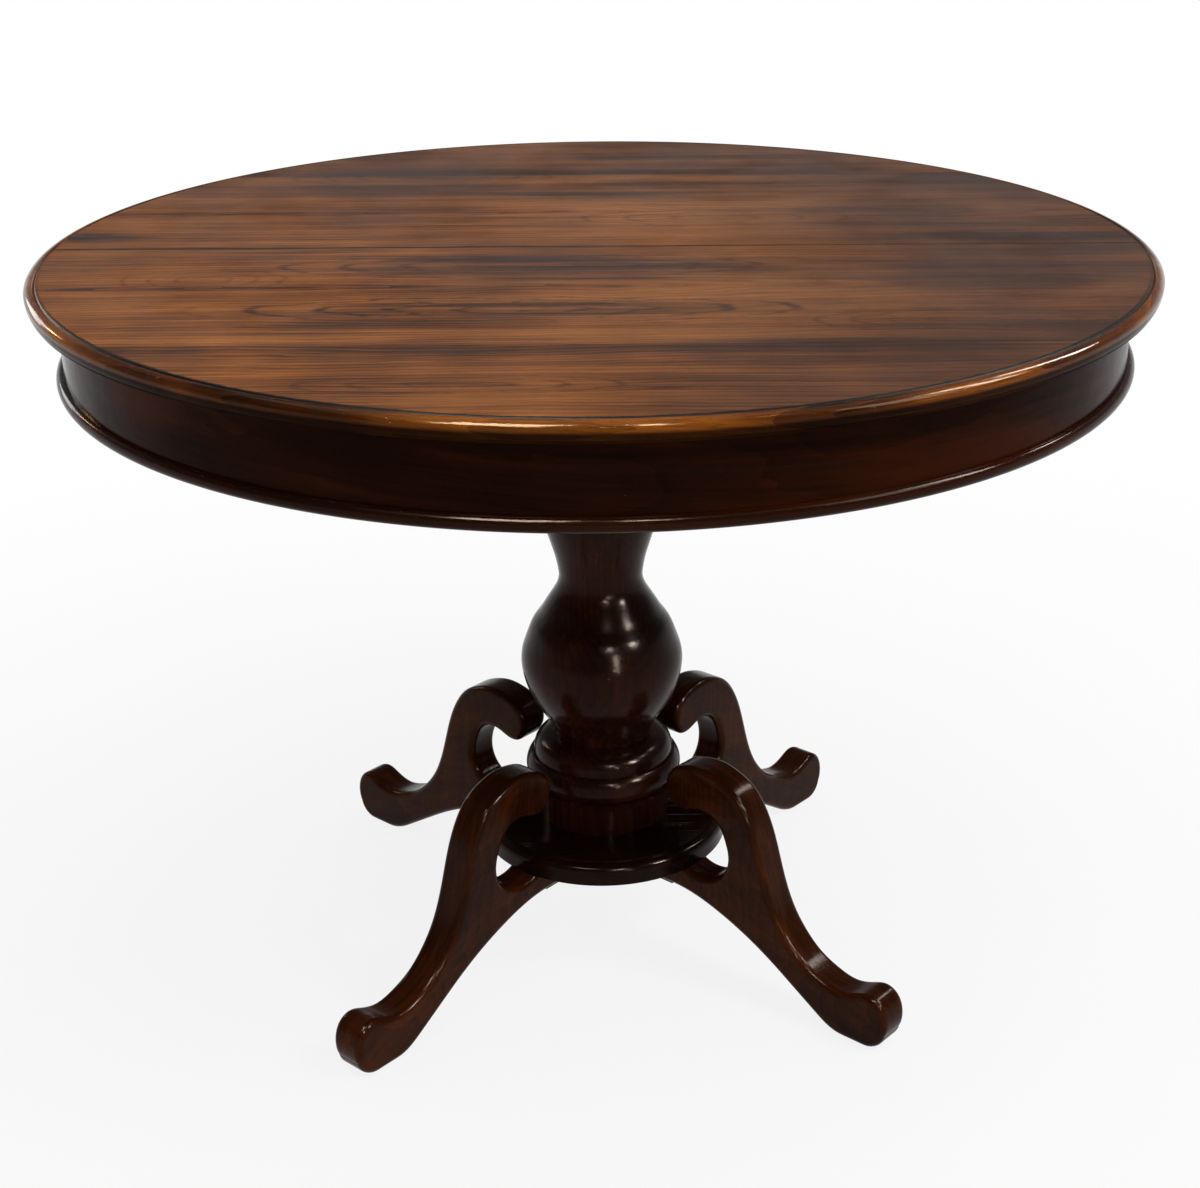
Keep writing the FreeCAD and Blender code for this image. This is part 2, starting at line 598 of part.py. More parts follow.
def make_legs():
    rim = size("plinth_radius")
    reach = size("leg_reach") - rim
    under = size("plinth_bottom")
    rise = size("leg_height") - under
    root = place("hub_bottom")
    hub_face = place("hub_half")
    start = Vector(rim, under, 0)
    upper = [start] + [Vector(rim + reach * across, under + rise * along, 0)
                       for across, along in SCROLL_NOTCH_SHARES + SCROLL_TIP_SHARES]
    upper += [Vector(rim + reach * across, under * along, 0) for across, along in SHIN_SHARES]
    toe = upper[-1]
    sole = Vector(rim + reach * SOLE_SHARES[0], 0, 0)
    heel = Vector(rim + reach * SOLE_SHARES[1], 0, 0)
    toe_radius = ((toe.x - sole.x) ** 2 + toe.y ** 2) / (2 * toe.y)
    toe_centre = Vector(sole.x, toe_radius, 0)
    toe_aim = (toe - toe_centre).normalize() + (sole - toe_centre).normalize()
    toe_middle = toe_centre + toe_aim.normalize() * toe_radius
    root_end = Vector(rim + reach * ROOT_END_SHARE, root, 0)
    belly = [heel] + [Vector(rim + reach * across, under * along, 0)
                      for across, along in BELLY_SHARES] + [root_end]
    outside = Part.BSplineCurve()
    outside.interpolate(Points=upper)
    underneath = Part.BSplineCurve()
    underneath.interpolate(Points=belly)
    corners = [root_end, Vector(hub_face, root, 0), Vector(hub_face, under, 0), start]
    screws = plate_screws(size("hole_clearance"))
    for number, name in enumerate(LEG_NAMES):
        body = new_body(name + "_body")
        sketch = new_sketch(body, "XZ_Plane")
        outline = [outside, Part.Arc(toe, toe_middle, sole), Part.LineSegment(sole, heel), underneath]
        outline += [Part.LineSegment(*pair) for pair in zip(corners, corners[1:])]
        sketch.addGeometry(outline, False)
        pad = padded(body, sketch, "Sizes.leg_thickness", symmetric=True)
        names = edges_of(pad, lambda edge: edge.BoundBox.YLength < size("leg_round")
                         and edge.BoundBox.XMax > rim + size("leg_round"))
        dressed(body, pad, "Fillet", names, "Places.leg_rounding")
        tenon = new_sketch(body, "XZ_Plane")
        near = "(Places.hub_half - Sizes.tenon_length)"
        far = "Places.hub_half"
        top = "(Places.tenon_bottom + Sizes.tenon_height)"
        draw(tenon, [((near, "Places.tenon_bottom"),), ((far, "Places.tenon_bottom"),),
                     ((far, top),), ((near, top),)])
        padded(body, tenon, "Sizes.tenon_thickness", symmetric=True)
        body.Placement = FreeCAD.Placement(Vector(), Turn(UP, leg_angle(number)))
        own = screws[len(PLATE_SCREW_SHARES) * number:len(PLATE_SCREW_SHARES) * (number + 1)]
        cut_from(name, body, cutter(name + "_holes", own))


def make_plate():
    width = size("plate_width")
    reach = size("plate_reach")
    arms = []
    for number in range(2):
        bar = Part.makeBox(2 * reach, width, size("plate_thickness"),
                           Vector(-reach, -width / 2, place("plate_bottom")))
        bar.rotate(Vector(), UP, leg_angle(number))
        arms.append(bar)
    plate = arms[0].fuse(arms[1]).removeSplitter()
    holes = plate_screws(size("hole_clearance")) + [bolt_rod(size("hole_clearance"))]
    plate = plate.cut(Part.makeCompound(holes))
    item = document.addObject("Part::Feature", "plate_worked")
    item.Shape = plate
    keep("cross_plate", item)
    feature_of("plate_screws", plate_screws())
    rod = document.addObject("Part::Cylinder", "bolt_rod")
    bind(rod, Radius="Sizes.bolt_radius", Height="Sizes.bolt_length",
         Placement__Base__z="Places.plate_bottom")
    head = document.addObject("Part::Prism", "bolt_head")
    head.Polygon = 6
    bind(head, Circumradius="Sizes.bolt_head_radius", Height="Sizes.bolt_head_height",
         Placement__Base__z="Places.plate_bottom - Sizes.bolt_head_height")
    bolt = document.addObject("Part::Fuse", "bolt_worked")
    bolt.Base = rod
    bolt.Tool = head
    keep("coach_bolt", bolt)


# Head block, bearers and cross rails
def frame_screws(extra=0):
    """Screws up through the head block and the cross rails into the bearers."""
    middle = size("bearer_spacing") / 2
    head_row_share = 0.68
    row = size("head_depth") / 2 * head_row_share
    screws = []
    for x in (-middle, middle):
        for y in (-row, row):
            screws.append(wood_screw(Vector(x, y, place("head_bottom")),
                                     size("head_thickness") + size("screw_bite"), extra))
        for y in (-place("rail_place"), place("rail_place")):
            screws.append(wood_screw(Vector(x, y, place("rail_bottom")),
                                     size("rail_thickness") + size("screw_bite"), extra))
    return screws


def make_frame():
    holes = cutter("frame_holes", frame_screws(size("hole_clearance")))
    body = new_body("head_body")
    sketch = new_sketch(body, "XY_Plane", "Places.head_bottom")
    x, y = "(Sizes.head_length / 2)", "(Sizes.head_depth / 2)"
    draw(sketch, [((f"-{x}", f"-{y}"),), ((x, f"-{y}"),), ((x, y),), ((f"-{x}", y),)])
    pad = padded(body, sketch, "Sizes.head_thickness")
    low = place("head_bottom") + NEAR
    names = edges_of(pad, lambda edge: edge.BoundBox.ZMax < low)
    dressed(body, pad, "Chamfer", names, "Sizes.head_bevel")
    spigot_hole = document.addObject("Part::Cylinder", "head_spigot_hole")
    bind(spigot_hole, Radius="Sizes.top_spigot_radius", Height="Sizes.head_thickness",
         Placement__Base__z="Places.head_bottom")
    bored = document.addObject("Part::Cut", "head_bored")
    bored.Base = body
    bored.Tool = spigot_hole
    cut_from("head_block", bored, holes)
    wedge = Part.makeBox(2 * size("top_spigot_radius"), size("wedge_thickness"), size("wedge_depth"),
                         Vector(-size("top_spigot_radius"), -size("wedge_thickness") / 2,
                                place("bearer_bottom") - size("wedge_depth")))
    spigot = Part.makeCylinder(size("top_spigot_radius"), size("head_thickness"),
                               Vector(0, 0, place("head_bottom")), UP)
    item = document.addObject("Part::Feature", "wedge_worked")
    item.Shape = wedge.common(spigot)
    keep("head_wedge", item)
    for name, sign in (("bearer_left", "-"), ("bearer_right", "")):
        body = new_body(name + "_body")
        sketch = new_sketch(body, "XZ_Plane")
        near, far = f"{sign}Places.bearer_inside", f"{sign}Places.bearer_outside"
        step = "-" if sign else "+"
        back = "+" if sign else "-"
        inner_groove = f"{near} {step} Places.groove_depth"
        outer_groove = f"{far} {back} Places.groove_depth"
        low, high = "Places.bearer_bottom", "Places.bearer_top"
        groove_low, groove_high = "Places.groove_bottom", "Places.groove_top"
        draw(sketch, [((near, low),), ((far, low),), ((far, groove_low),),
                      ((outer_groove, groove_low),), ((outer_groove, groove_high),),
                      ((far, groove_high),), ((far, high),), ((near, high),),
                      ((near, groove_high),), ((inner_groove, groove_high),),
                      ((inner_groove, groove_low),), ((near, groove_low),)])
        padded(body, sketch, "2 * Places.bearer_half", symmetric=True)
        cut_from(name, body, holes)
    for name, start in (("cross_rail_front", "-Places.bearer_half"),
                        ("cross_rail_rear", "Places.bearer_half - Sizes.rail_width")):
        blank = box(name + "_blank", "2 * Places.rail_half", "Sizes.rail_width",
                    "Sizes.rail_thickness", ("-Places.rail_half", start, "Places.rail_bottom"))
        cut_from(name, blank, holes)
    feature_of("frame_screws", frame_screws())


# The two halves of the top
RUNNER_SCREW_SHARES = (0.12, 0.37, 0.62, 0.87)
BATTEN_SCREW_SHARES = (0.1, 0.5, 0.9)
GLUE_BLOCK_DEGREES = (203, 235, 270, 305, 337)


def half_screw_points(side):
    """(x, y, low end, head depth) of each screw under the front half, in its own frame."""
    edge = {"front": "outer_runner", "rear": "inner_runner"}[side]
    middle = place(edge + "_middle")
    length = place(edge + "_end")
    points = []
    for x in (-middle, middle):
        for share in RUNNER_SCREW_SHARES:
            points.append((x, -length * share, place("runner_bottom"), size("counterbore_depth")))
    start = size("batten_seam_gap")
    for x in (-place("batten_middle"), place("batten_middle")):
        for share in BATTEN_SCREW_SHARES:
            points.append((x, -start - place("batten_length") * share,
                           place("underside") - size("batten_thickness"), 0))
    return points


def half_screws(side, extra=0):
    screws = []
    for x, y, low, sunk in half_screw_points(side):
        head = low + sunk
        length = place("underside") + size("screw_bite") - head
        screws.append(wood_screw(Vector(x, y, head), length, extra))
        if extra and sunk:
            screws.append(Part.makeCylinder(size("counterbore_radius"), sunk, Vector(x, y, low), UP))
    return screws


def stop_pegs(side):
    edge = {"front": "outer_runner", "rear": "inner_runner"}[side]
    middle = place(edge + "_middle")
    low = place("runner_bottom") + size("stop_peg_depth") - size("stop_peg_length")
    return [Part.makeCylinder(size("stop_peg_radius"), size("stop_peg_length"),
                              Vector(x, place("stop_peg_place"), low), UP)
            for x in (-middle, middle)]


def seam_pegs(extra=0):
    """Dowels that stand out of the front half's seam face."""
    reach = size("seam_peg_length") / 2
    level = place("underside") + size("board_thickness") / 2
    return [Part.makeCylinder(size("seam_peg_radius") + extra, 2 * (reach + extra),
                              Vector(x, -reach - extra, level), Vector(0, 1, 0))
            for x in (-size("seam_peg_spacing"), 0, size("seam_peg_spacing"))]


def board(name, side, tool, near=None):
    """A board of the half disc: from the seam to the joint, or from the joint to the rim."""
    body = new_body(name + "_body")
    sketch = new_sketch(body, "XY_Plane", "Places.underside")
    radius = place("field_radius")
    joint = place("board_joint")
    reach = math.sqrt(radius ** 2 - joint ** 2)
    lean = math.atan2(joint, reach)
    centre = Vector()
    left, right = Vector(-reach, -joint, 0), Vector(reach, -joint, 0)
    if near == "seam":
        shapes = [Part.LineSegment(Vector(radius, 0, 0), Vector(-radius, 0, 0)),
                  Part.ArcOfCircle(Part.Circle(centre, UP, radius), math.pi, math.pi + lean),
                  Part.LineSegment(left, right),
                  Part.ArcOfCircle(Part.Circle(centre, UP, radius), -lean, 0)]
        arcs, lines = (1, 3), ((0, None), (2, "-Places.board_joint"))
        corners = [(0, 2, 1, 1), (1, 2, 2, 1), (2, 2, 3, 1), (3, 2, 0, 1)]
    else:
        shapes = [Part.ArcOfCircle(Part.Circle(centre, UP, radius), math.pi + lean,
                                   2 * math.pi - lean),
                  Part.LineSegment(right, left)]
        arcs, lines = (0,), ((1, "-Places.board_joint"),)
        corners = [(0, 2, 1, 1), (1, 2, 0, 1)]
    sketch.addGeometry(shapes, False)
    for corner in corners:
        sketch.addConstraint(Sketcher.Constraint("Coincident", *corner))
    for arc in arcs:
        sketch.addConstraint(Sketcher.Constraint("Coincident", arc, 3, -1, 1))
        index = sketch.addConstraint(Sketcher.Constraint("Radius", arc, radius))
        sketch.setExpression(f"Constraints[{index}]", "Places.field_radius")
    for line, expression in lines:
        sketch.addConstraint(Sketcher.Constraint("Horizontal", line))
        if expression:
            pin(sketch, line, 1, 1, expression)
        else:
            sketch.addConstraint(Sketcher.Constraint("PointOnObject", line, 1, -1))
    pad = padded(body, sketch, "Sizes.board_thickness")
    high = size("top_height") - NEAR
    rim = edges_of(pad, lambda edge: edge.BoundBox.ZMin > high and edge.Curve.TypeId != "Part::GeomLine")
    feature = dressed(body, pad, "Chamfer", rim, "Sizes.quirk")
    if near == "seam":
        seam = edges_of(feature, lambda edge: edge.BoundBox.ZMin > high
                        and edge.BoundBox.YMin > -NEAR)
        dressed(body, feature, "Chamfer", seam, "Sizes.seam_bevel")
    return seat_half(cut_from(name, body, tool), side)


def half_ring(name, side, steps):
    """A half ring about the table's middle, cut from one section."""
    body = new_body(name + "_body")
    draw(new_sketch(body, "XZ_Plane"), steps)
    revolved(body, body.Group[0], HALF, flip=True)
    seat_half(body, side)
    return keep(name, body)


def make_rings(side):
    inner, outer = "Places.field_radius", "Sizes.top_radius"
    top, low, widest = "Sizes.top_height", "Places.underside", "Places.edge_widest"
    lip, lip_top = "Places.lip_radius", "Places.lip_top"
    half_ring(f"edge_moulding_{side}", side, [
        ((inner, low),),
        ((lip, low),),
        ((lip, lip_top),),
        ((f"{outer} - Sizes.edge_lip_inset / 2", lip_top),
         (f"{outer} - Sizes.edge_lip_bulge", f"({lip_top} + {widest}) / 2 ")),
        ((outer, widest), (f"{inner} + Sizes.quirk + Places.roll_chord / 2", f"{top} - Places.roll_sag")),
        ((f"{inner} + Sizes.quirk", top),),
        ((inner, f"{top} - Sizes.quirk"),),
    ])
    frieze_inner, frieze = "Places.frieze_inner", "Places.frieze_radius"
    half_ring(f"frieze_{side}", side, [
        ((frieze_inner, "Places.bead_top"),), ((frieze, "Places.bead_top"),),
        ((frieze, low),), ((frieze_inner, low),)])
    half_ring(f"bead_{side}", side, [
        ((frieze_inner, "Places.bead_bottom"),),
        ((frieze, "Places.bead_bottom"), ("Places.bead_radius", "Places.bead_top - Places.bead_roll")),
        ((frieze, "Places.bead_top"),),
        ((frieze_inner, "Places.bead_top"),)])
    blocks = []
    radius, width, height = place("frieze_inner"), size("block_width"), size("block_height")
    low_corner = Vector(0, 0, place("underside") - height)
    for degrees in GLUE_BLOCK_DEGREES:
        block = Part.makeCylinder(radius, height, low_corner, UP, size("block_sweep"))
        block = block.cut(Part.makeCylinder(radius - width, height, low_corner, UP))
        block.rotate(Vector(), UP, degrees - size("block_sweep") / 2)
        blocks.append(block)
    seat_half(feature_of(f"glue_blocks_{side}", blocks), side)


def make_runner(name, side, sign, tool):
    """A sliding runner with a tongue on the side of its bearer."""
    edge = {"front": "outer_runner", "rear": "inner_runner"}[side]
    away = {"front": "+", "rear": "-"}[side]
    towards = {"front": "-", "rear": "+"}[side]
    near = f"({sign}(Places.{edge}))"
    far = f"({sign}(Places.{edge} {away} Sizes.runner_width))"
    tip = f"({sign}(Places.{edge} {towards} Sizes.tongue_depth))"
    body = new_body(name + "_body")
    sketch = new_sketch(body, "XZ_Plane", "-Places.tail_end")
    low, high = "Places.runner_bottom", "Places.underside"
    draw(sketch, [((near, low),), ((far, low),), ((far, high),), ((near, high),),
                  ((near, "Places.tongue_top"),), ((tip, "Places.tongue_top"),),
                  ((tip, "Places.tongue_bottom"),), ((near, "Places.tongue_bottom"),)])
    padded(body, sketch, f"Places.tail_end + Places.{edge}_end")
    seat_half(cut_from(name, body, tool), side)


def make_half(side):
    extra = size("hole_clearance")
    fixings = half_screws(side, extra) + stop_pegs(side)
    if side == "front":
        fixings += seam_pegs() + catch_screws_at(-size("catch_setback"), extra)
    else:
        fixings += [peg.rotate(Vector(), UP, HALF) or peg
                    for peg in seam_pegs(size("seam_peg_clearance"))]
        fixings += catch_screws_at(-place("keeper_place"), extra)
    span = size("head_length")
    relief = Part.makeBox(2 * span, place("tail_end") + span, size("slide_clearance"),
                          Vector(-span, 0, place("underside") - size("slide_clearance")))
    tool = cutter(f"holes_{side}", fixings)
    runner_tool = cutter(f"runner_holes_{side}", fixings + [relief])
    board(f"inner_board_{side}", side, tool, near="seam")
    board(f"outer_board_{side}", side, tool)
    make_rings(side)
    for hand, sign in (("left", "-"), ("right", "")):
        own_sign = sign if side == "front" else {"-": "", "": "-"}[sign]
        make_runner(f"runner_{side}_{hand}", side, own_sign, runner_tool)
        x = f"{own_sign}Places.batten_middle - Sizes.batten_width / 2"
        blank = box(f"batten_{side}_{hand}_blank", "Sizes.batten_width", "Places.batten_length",
                    "Sizes.batten_thickness",
                    (x, "-Places.batten_end",
                     "Places.underside - Sizes.batten_thickness"))
        seat_half(cut_from(f"batten_{side}_{hand}", blank, tool), side)
    seat_half(feature_of(f"top_screws_{side}", half_screws(side)), side)
    seat_half(feature_of(f"stop_pegs_{side}", stop_pegs(side)), side)


# Brass catches that hold the closed halves together
def catch_screws_at(y, extra=0):
    return [round_screw(x, y, extra) for x in (-size("catch_place"), size("catch_place"))]


def make_catch(name, hand):
    """A flat brass hook, shown swung open along the seam; it closes over the keeper screw."""
    width, thick, reach = size("catch_width"), size("catch_thickness"), size("catch_reach")
    extra = size("catch_gap")
    low = place("catch_bottom")
    length = reach + size("catch_tip")
    bar = Part.makeBox(length, width, thick, Vector(0, -width / 2, low))
    heel = Part.makeCylinder(width / 2, thick, Vector(0, 0, low), UP)
    tip = Part.makeCylinder(length, thick, Vector(0, 0, low), UP)
    pivot_hole = Part.makeCylinder(size("keeper_radius") + extra, thick, Vector(0, 0, low), UP)
    slot_half = size("keeper_radius") + 2 * extra
    ring = Part.makeCylinder(reach + slot_half, thick, Vector(0, 0, low), UP)
    ring = ring.cut(Part.makeCylinder(reach - slot_half, thick, Vector(0, 0, low), UP))
    open_side = Part.makeBox(length, width, thick, Vector(0, 0, low))
    seat = Part.makeCylinder(slot_half, thick, Vector(reach, 0, low), UP)
    shape = bar.common(tip).fuse(heel).cut(pivot_hole).cut(ring.common(open_side)).cut(seat)
    shape = shape.removeSplitter()
    if hand == "left":
        shape = shape.mirror(Vector(), Vector(1, 0, 0))
    shape.translate(Vector(size("catch_place") * {"left": -1, "right": 1}[hand],
                           -size("catch_setback") - place("half_offset"), 0))
    item = document.addObject("Part::Feature", name + "_worked")
    item.Shape = shape
    keep(name, item)


make_pillar()
make_plinth()
make_hub()
make_legs()
make_plate()
make_frame()
for half_side in ("front", "rear"):
    make_half(half_side)
seat_half(feature_of("seam_pegs", seam_pegs()), "front")
seat_half(feature_of("catch_pivots", catch_screws_at(-size("catch_setback"))), "front")
seat_half(feature_of("catch_keepers", catch_screws_at(-place("keeper_place"))), "rear")
make_catch("catch_left", "left")
make_catch("catch_right", "right")

document.recompute()
for item in document.Objects:
    if "Invalid" in item.State or "Error" in item.State:
        raise RuntimeError(f"{item.Label} failed: {item.State}")
os.makedirs("parts", exist_ok=True)
for name, item in pieces.items():
    shape = item.Shape
    if shape.isNull() or not shape.isValid() or not shape.Solids:
        raise RuntimeError(f"{name} has no valid solid")
    shape.exportStep(f"parts/{name}.step")
    print(f"{name}: {len(shape.Solids)} solids, {shape.Volume:.0f} mm3")
print(f"slide travel {place('travel'):.2f} mm")
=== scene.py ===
"""A round extending dining table: the looks of its pieces, the light and the camera."""

import math

import bmesh
import bpy
from mathutils import Matrix, Vector


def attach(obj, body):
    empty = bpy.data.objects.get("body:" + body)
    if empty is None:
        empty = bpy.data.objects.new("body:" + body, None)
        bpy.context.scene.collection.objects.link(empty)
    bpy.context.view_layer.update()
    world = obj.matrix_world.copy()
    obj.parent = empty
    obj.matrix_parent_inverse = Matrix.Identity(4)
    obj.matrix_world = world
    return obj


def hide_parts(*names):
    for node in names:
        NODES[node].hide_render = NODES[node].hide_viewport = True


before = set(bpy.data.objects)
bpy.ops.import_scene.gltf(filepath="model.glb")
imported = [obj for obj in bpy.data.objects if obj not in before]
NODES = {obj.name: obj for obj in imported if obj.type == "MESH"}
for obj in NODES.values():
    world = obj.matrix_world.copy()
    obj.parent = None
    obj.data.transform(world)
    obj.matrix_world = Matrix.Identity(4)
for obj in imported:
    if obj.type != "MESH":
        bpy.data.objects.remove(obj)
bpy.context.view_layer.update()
MM = 0.001
SIDES = ("front", "rear")
HANDS = ("left", "right")
TOP_LEVEL = 0.762
HALF_OFFSET = 0.0003
BOARD_JOINT = 0.3373      # glued joint of a half's two boards, from the table's middle
GROOVE_RADIUS = 0.5289    # groove on the inside of the edge moulding
GROOVE_WIDTH = 0.0029
# NOSE_TURN and NOSE_UNDER also bound the painted shade under the moulding's nose
NOSE_TURN = 0.7555        # level at which the moulding's nose starts to turn under
NOSE_UNDER = 0.7515
WHITE = (1.0, 1.0, 1.0, 1.0)
PORE_DARK = (0.012, 0.006, 0.004, 1.0)
LINE_DARK = (0.016, 0.009, 0.007, 1.0)
JOINT_DARK = (0.006, 0.004, 0.003, 1.0)
SEAM_DARK = (0.006, 0.004, 0.004, 1.0)
# Painted shade for the recess of the groove round the top
GROOVE_SHADE = (0.003, 0.002, 0.0015, 1.0)
VENEER_JOINT = (0.004, 0.003, 0.003, 1.0)
# Painted shade for the underside of the moulding's nose
UNDER_SHADE = (0.006, 0.003, 0.002, 1.0)
GRIME_DARK = (0.008, 0.005, 0.004, 1.0)
BLUE_BLACK = (0.010, 0.011, 0.015, 1.0)

# Profiles as (radius, height) in millimetres: each row is one smooth run up to the next row
PILLAR_PROFILE = [
    [(0, 200.05)],
    [(5.05, 200.05)],
    [(5.05, 93)],
    [(24, 93)],
    [(24, 143)],
    [(69.5, 143)],
    [(69.5, 169), (69.7, 171.89), (70.15, 174.75), (70.81, 177.14), (71.61, 179.05),
     (72.69, 180.81), (73.79, 182.05), (75.08, 183.07), (75.79, 183.5)],
    [(76.92, 184), (78.32, 185.52), (79.56, 187.18), (80.42, 188.59), (81.34, 190.45),
     (82.06, 192.39), (82.58, 194.39), (82.89, 196.43)],
    [(83, 198.5), (82.89, 200.57), (82.58, 202.61), (82.06, 204.61), (81.34, 206.55),
     (80.42, 208.41), (79.33, 210.16), (78.06, 211.79)],
    [(76.93, 213)],
    [(74.5, 213), (74.48, 215.86), (74.31, 218.3), (74.01, 220.33), (73.54, 222.31),
     (72.87, 224.24), (72.01, 226.09), (70.96, 227.84), (69.71, 229.46), (68.29, 230.93),
     (66.41, 232.49), (64.04, 234.1), (61.56, 235.53), (59, 236.78), (56.72, 237.7),
     (54.39, 238.44)],
    [(52, 239)],
    [(52, 242), (53.14, 244.57), (54.56, 247.44), (56.08, 250.27), (57.9, 253.39),
     (61.31, 258.82), (68.63, 269.85), (71.56, 274.64), (74.22, 279.58), (76.77, 285.03),
     (78.45, 289.11), (80.1, 293.63), (81.55, 298.22), (82.71, 302.48), (83.69, 306.78),
     (84.47, 311.12), (84.98, 315.1), (85.25, 318.7), (85.28, 322.71), (85.01, 326.71),
     (84.45, 330.68), (83.69, 334.21), (82.82, 337.3), (81.55, 341.1), (76.91, 353.93),
     (75.13, 358.4), (73.42, 362.03), (71.64, 365.16), (69.86, 367.83), (65.16, 374.34),
     (63.15, 377.33), (57.08, 387.26), (50.61, 397.4), (48.57, 400.85), (46.9, 404.06),
     (45.51, 407.38), (44.46, 410.84), (43.88, 413.99), (43.71, 415.99), (43.68, 417.59),
     (43.78, 419.59), (44.04, 421.99), (45.33, 429.9), (46.82, 436.97), (48.03, 441.63),
     (49.47, 446.64), (56.99, 470.76), (59.72, 479.99), (62.16, 489.3), (63.14, 493.61)],
    [(64, 497.93), (65.64, 498.1), (67.2, 498.6), (68.64, 499.41), (69.87, 500.5),
     (70.86, 501.82), (71.56, 503.31), (71.87, 504.5), (72, 506.14), (71.79, 507.77),
     (71.25, 509.32), (70.64, 510.4), (69.58, 511.66), (68.29, 512.68), (66.82, 513.42),
     (65.23, 513.84)],
    [(64, 513.93), (62.77, 516.03), (61.66, 518.19), (60.68, 520.41), (59.82, 522.68),
     (59.08, 525), (58.36, 527.74), (57.85, 530.11), (57.37, 532.9), (56.75, 538.13),
     (56.4, 543.79), (56.26, 549.46), (56.18, 561.6)],
    [(56, 567.27)],
    [(56, 620.6), (55.99, 622.23), (56.18, 624.25), (56.58, 626.24), (57.17, 628.19),
     (57.78, 629.69), (58.7, 631.51), (59.77, 633.23), (61, 634.85), (62.36, 636.36),
     (63.85, 637.75), (65.45, 638.99), (66.81, 639.88), (68.6, 640.85), (70.47, 641.65),
     (72.41, 642.26)],
    [(74, 642.6)],
    [(28, 642.6)],
    [(28, 687.5)],
    [(0, 687.5)],
]
PLINTH_PROFILE = [
    [(24, 143)],
    [(24, 119)],
    [(132, 119)],
    [(132, 132), (131.96, 132.83), (131.85, 133.65), (131.66, 134.46), (131.39, 135.25),
     (131.06, 136.01), (130.42, 137.09), (129.92, 137.75), (129.36, 138.36), (128.75, 138.92),
     (128.09, 139.42), (127.01, 140.06), (126.25, 140.39), (125.46, 140.66), (124.65, 140.85),
     (123.83, 140.96)],
    [(123, 141)],
    [(123, 143)],
]
EDGE_PROFILE = [
    [(530, 744)],
    [(536, 744)],
    [(536, 747)],
    [(538, 747), (538.49, 748.17), (538.92, 749.36), (539.48, 751.39), (539.72, 752.64),
     (539.78, 753.89)],
    [(539.87, 756), (539.5, 757.17), (538.84, 758.25), (538.32, 758.92), (537.74, 759.54),
     (536.76, 760.35), (536.05, 760.8), (535.3, 761.19), (534.11, 761.64), (532.87, 761.91)],
    [(531.6, 762)],
    [(530, 760.4)],
]
FRIEZE_PROFILE = [
    [(494.5, 678)],
    [(512.5, 678)],
    [(512.5, 744)],
    [(494.5, 744)],
]
BEAD_PROFILE = [
    [(494.5, 664.5)],
    [(512.5, 664.5), (513.74, 664.48), (514.56, 664.6), (515.36, 664.81), (516.49, 665.31),
     (517.19, 665.75), (517.83, 666.27), (518.66, 667.2), (519.11, 667.89), (519.47, 668.63),
     (519.75, 669.41), (519.92, 670.22), (520, 671.46), (519.92, 672.28), (519.75, 673.09),
     (519.3, 674.25), (518.89, 674.96), (518.4, 675.63), (517.52, 676.5), (516.85, 676.98),
     (516.12, 677.38), (514.96, 677.81), (513.74, 678.02)],
    [(512.5, 678)],
    [(494.5, 678)],
]


def linear(red, green, blue):
    """A colour written as 0 to 255 on a screen, as linear light."""
    return tuple((c / 255 / 12.92) if c / 255 <= 0.04045 else ((c / 255 + 0.055) / 1.055) ** 2.4
                 for c in (red, green, blue)) + (1.0,)


# Nodes and groups
class Net:
    """Puts nodes in one tree; an input given as a socket is linked, any other value is set."""

    def __init__(self, tree):
        self.tree = tree

    def add(self, kind, inputs=None, **settings):
        node = self.tree.nodes.new(kind)
        for name, value in settings.items():
            setattr(node, name, value)
        for name, value in (inputs or {}).items():
            if isinstance(value, bpy.types.NodeSocket):
                self.tree.links.new(value, node.inputs[name])
            else:
                node.inputs[name].default_value = value
        return node

    def calc(self, operation, *values):
        return self.add("ShaderNodeMath", dict(enumerate(values)), operation=operation).outputs[0]

    def product(self, *values):
        total = values[0]
        for value in values[1:]:
            total = self.calc("MULTIPLY", total, value)
        return total

    def vector(self, operation, *values):
        node = self.add("ShaderNodeVectorMath", dict(enumerate(values)), operation=operation)
        return node.outputs["Value" if operation in ("LENGTH", "DOT_PRODUCT") else "Vector"]

    def split(self, vector):
        return self.add("ShaderNodeSeparateXYZ", {0: vector}).outputs

    def join(self, x, y, z):
        return self.add("ShaderNodeCombineXYZ", {0: x, 1: y, 2: z}).outputs[0]

    def noise(self, vector, scale, detail=3.0, rough=0.5, bend=0.0):
        return self.add("ShaderNodeTexNoise", {
            "Vector": vector, "Scale": scale, "Detail": detail, "Roughness": rough,
            "Distortion": bend}).outputs["Fac"]

    def span(self, value, low, high, to_low=0.0, to_high=1.0):
        return self.add("ShaderNodeMapRange", {
            "Value": value, "From Min": low, "From Max": high, "To Min": to_low,
            "To Max": to_high}, interpolation_type="SMOOTHSTEP").outputs["Result"]

    def mix(self, factor, first, second, blend="MIX"):
        node = self.add("ShaderNodeMix", {0: factor, 6: first, 7: second},
                        data_type="RGBA", blend_type=blend)
        return node.outputs[2]

    def ramp(self, factor, stops):
        node = self.add("ShaderNodeValToRGB", {"Fac": factor})
        points = node.color_ramp.elements
        for place, colour in stops[2:]:
            points.new(place)
        for point, (place, colour) in zip(points, sorted(stops)):
            point.position = place
            point.color = colour
        return node.outputs["Color"]

    def use(self, group, **inputs):
        inputs = {name.replace("_", " "): value for name, value in inputs.items()}
        return self.add("ShaderNodeGroup", inputs, node_tree=group).outputs

    def give(self, **results):
        """Links values to the outputs of the group."""
        for name, value in results.items():
            self.tree.links.new(value, self.result[name])
        return self.tree


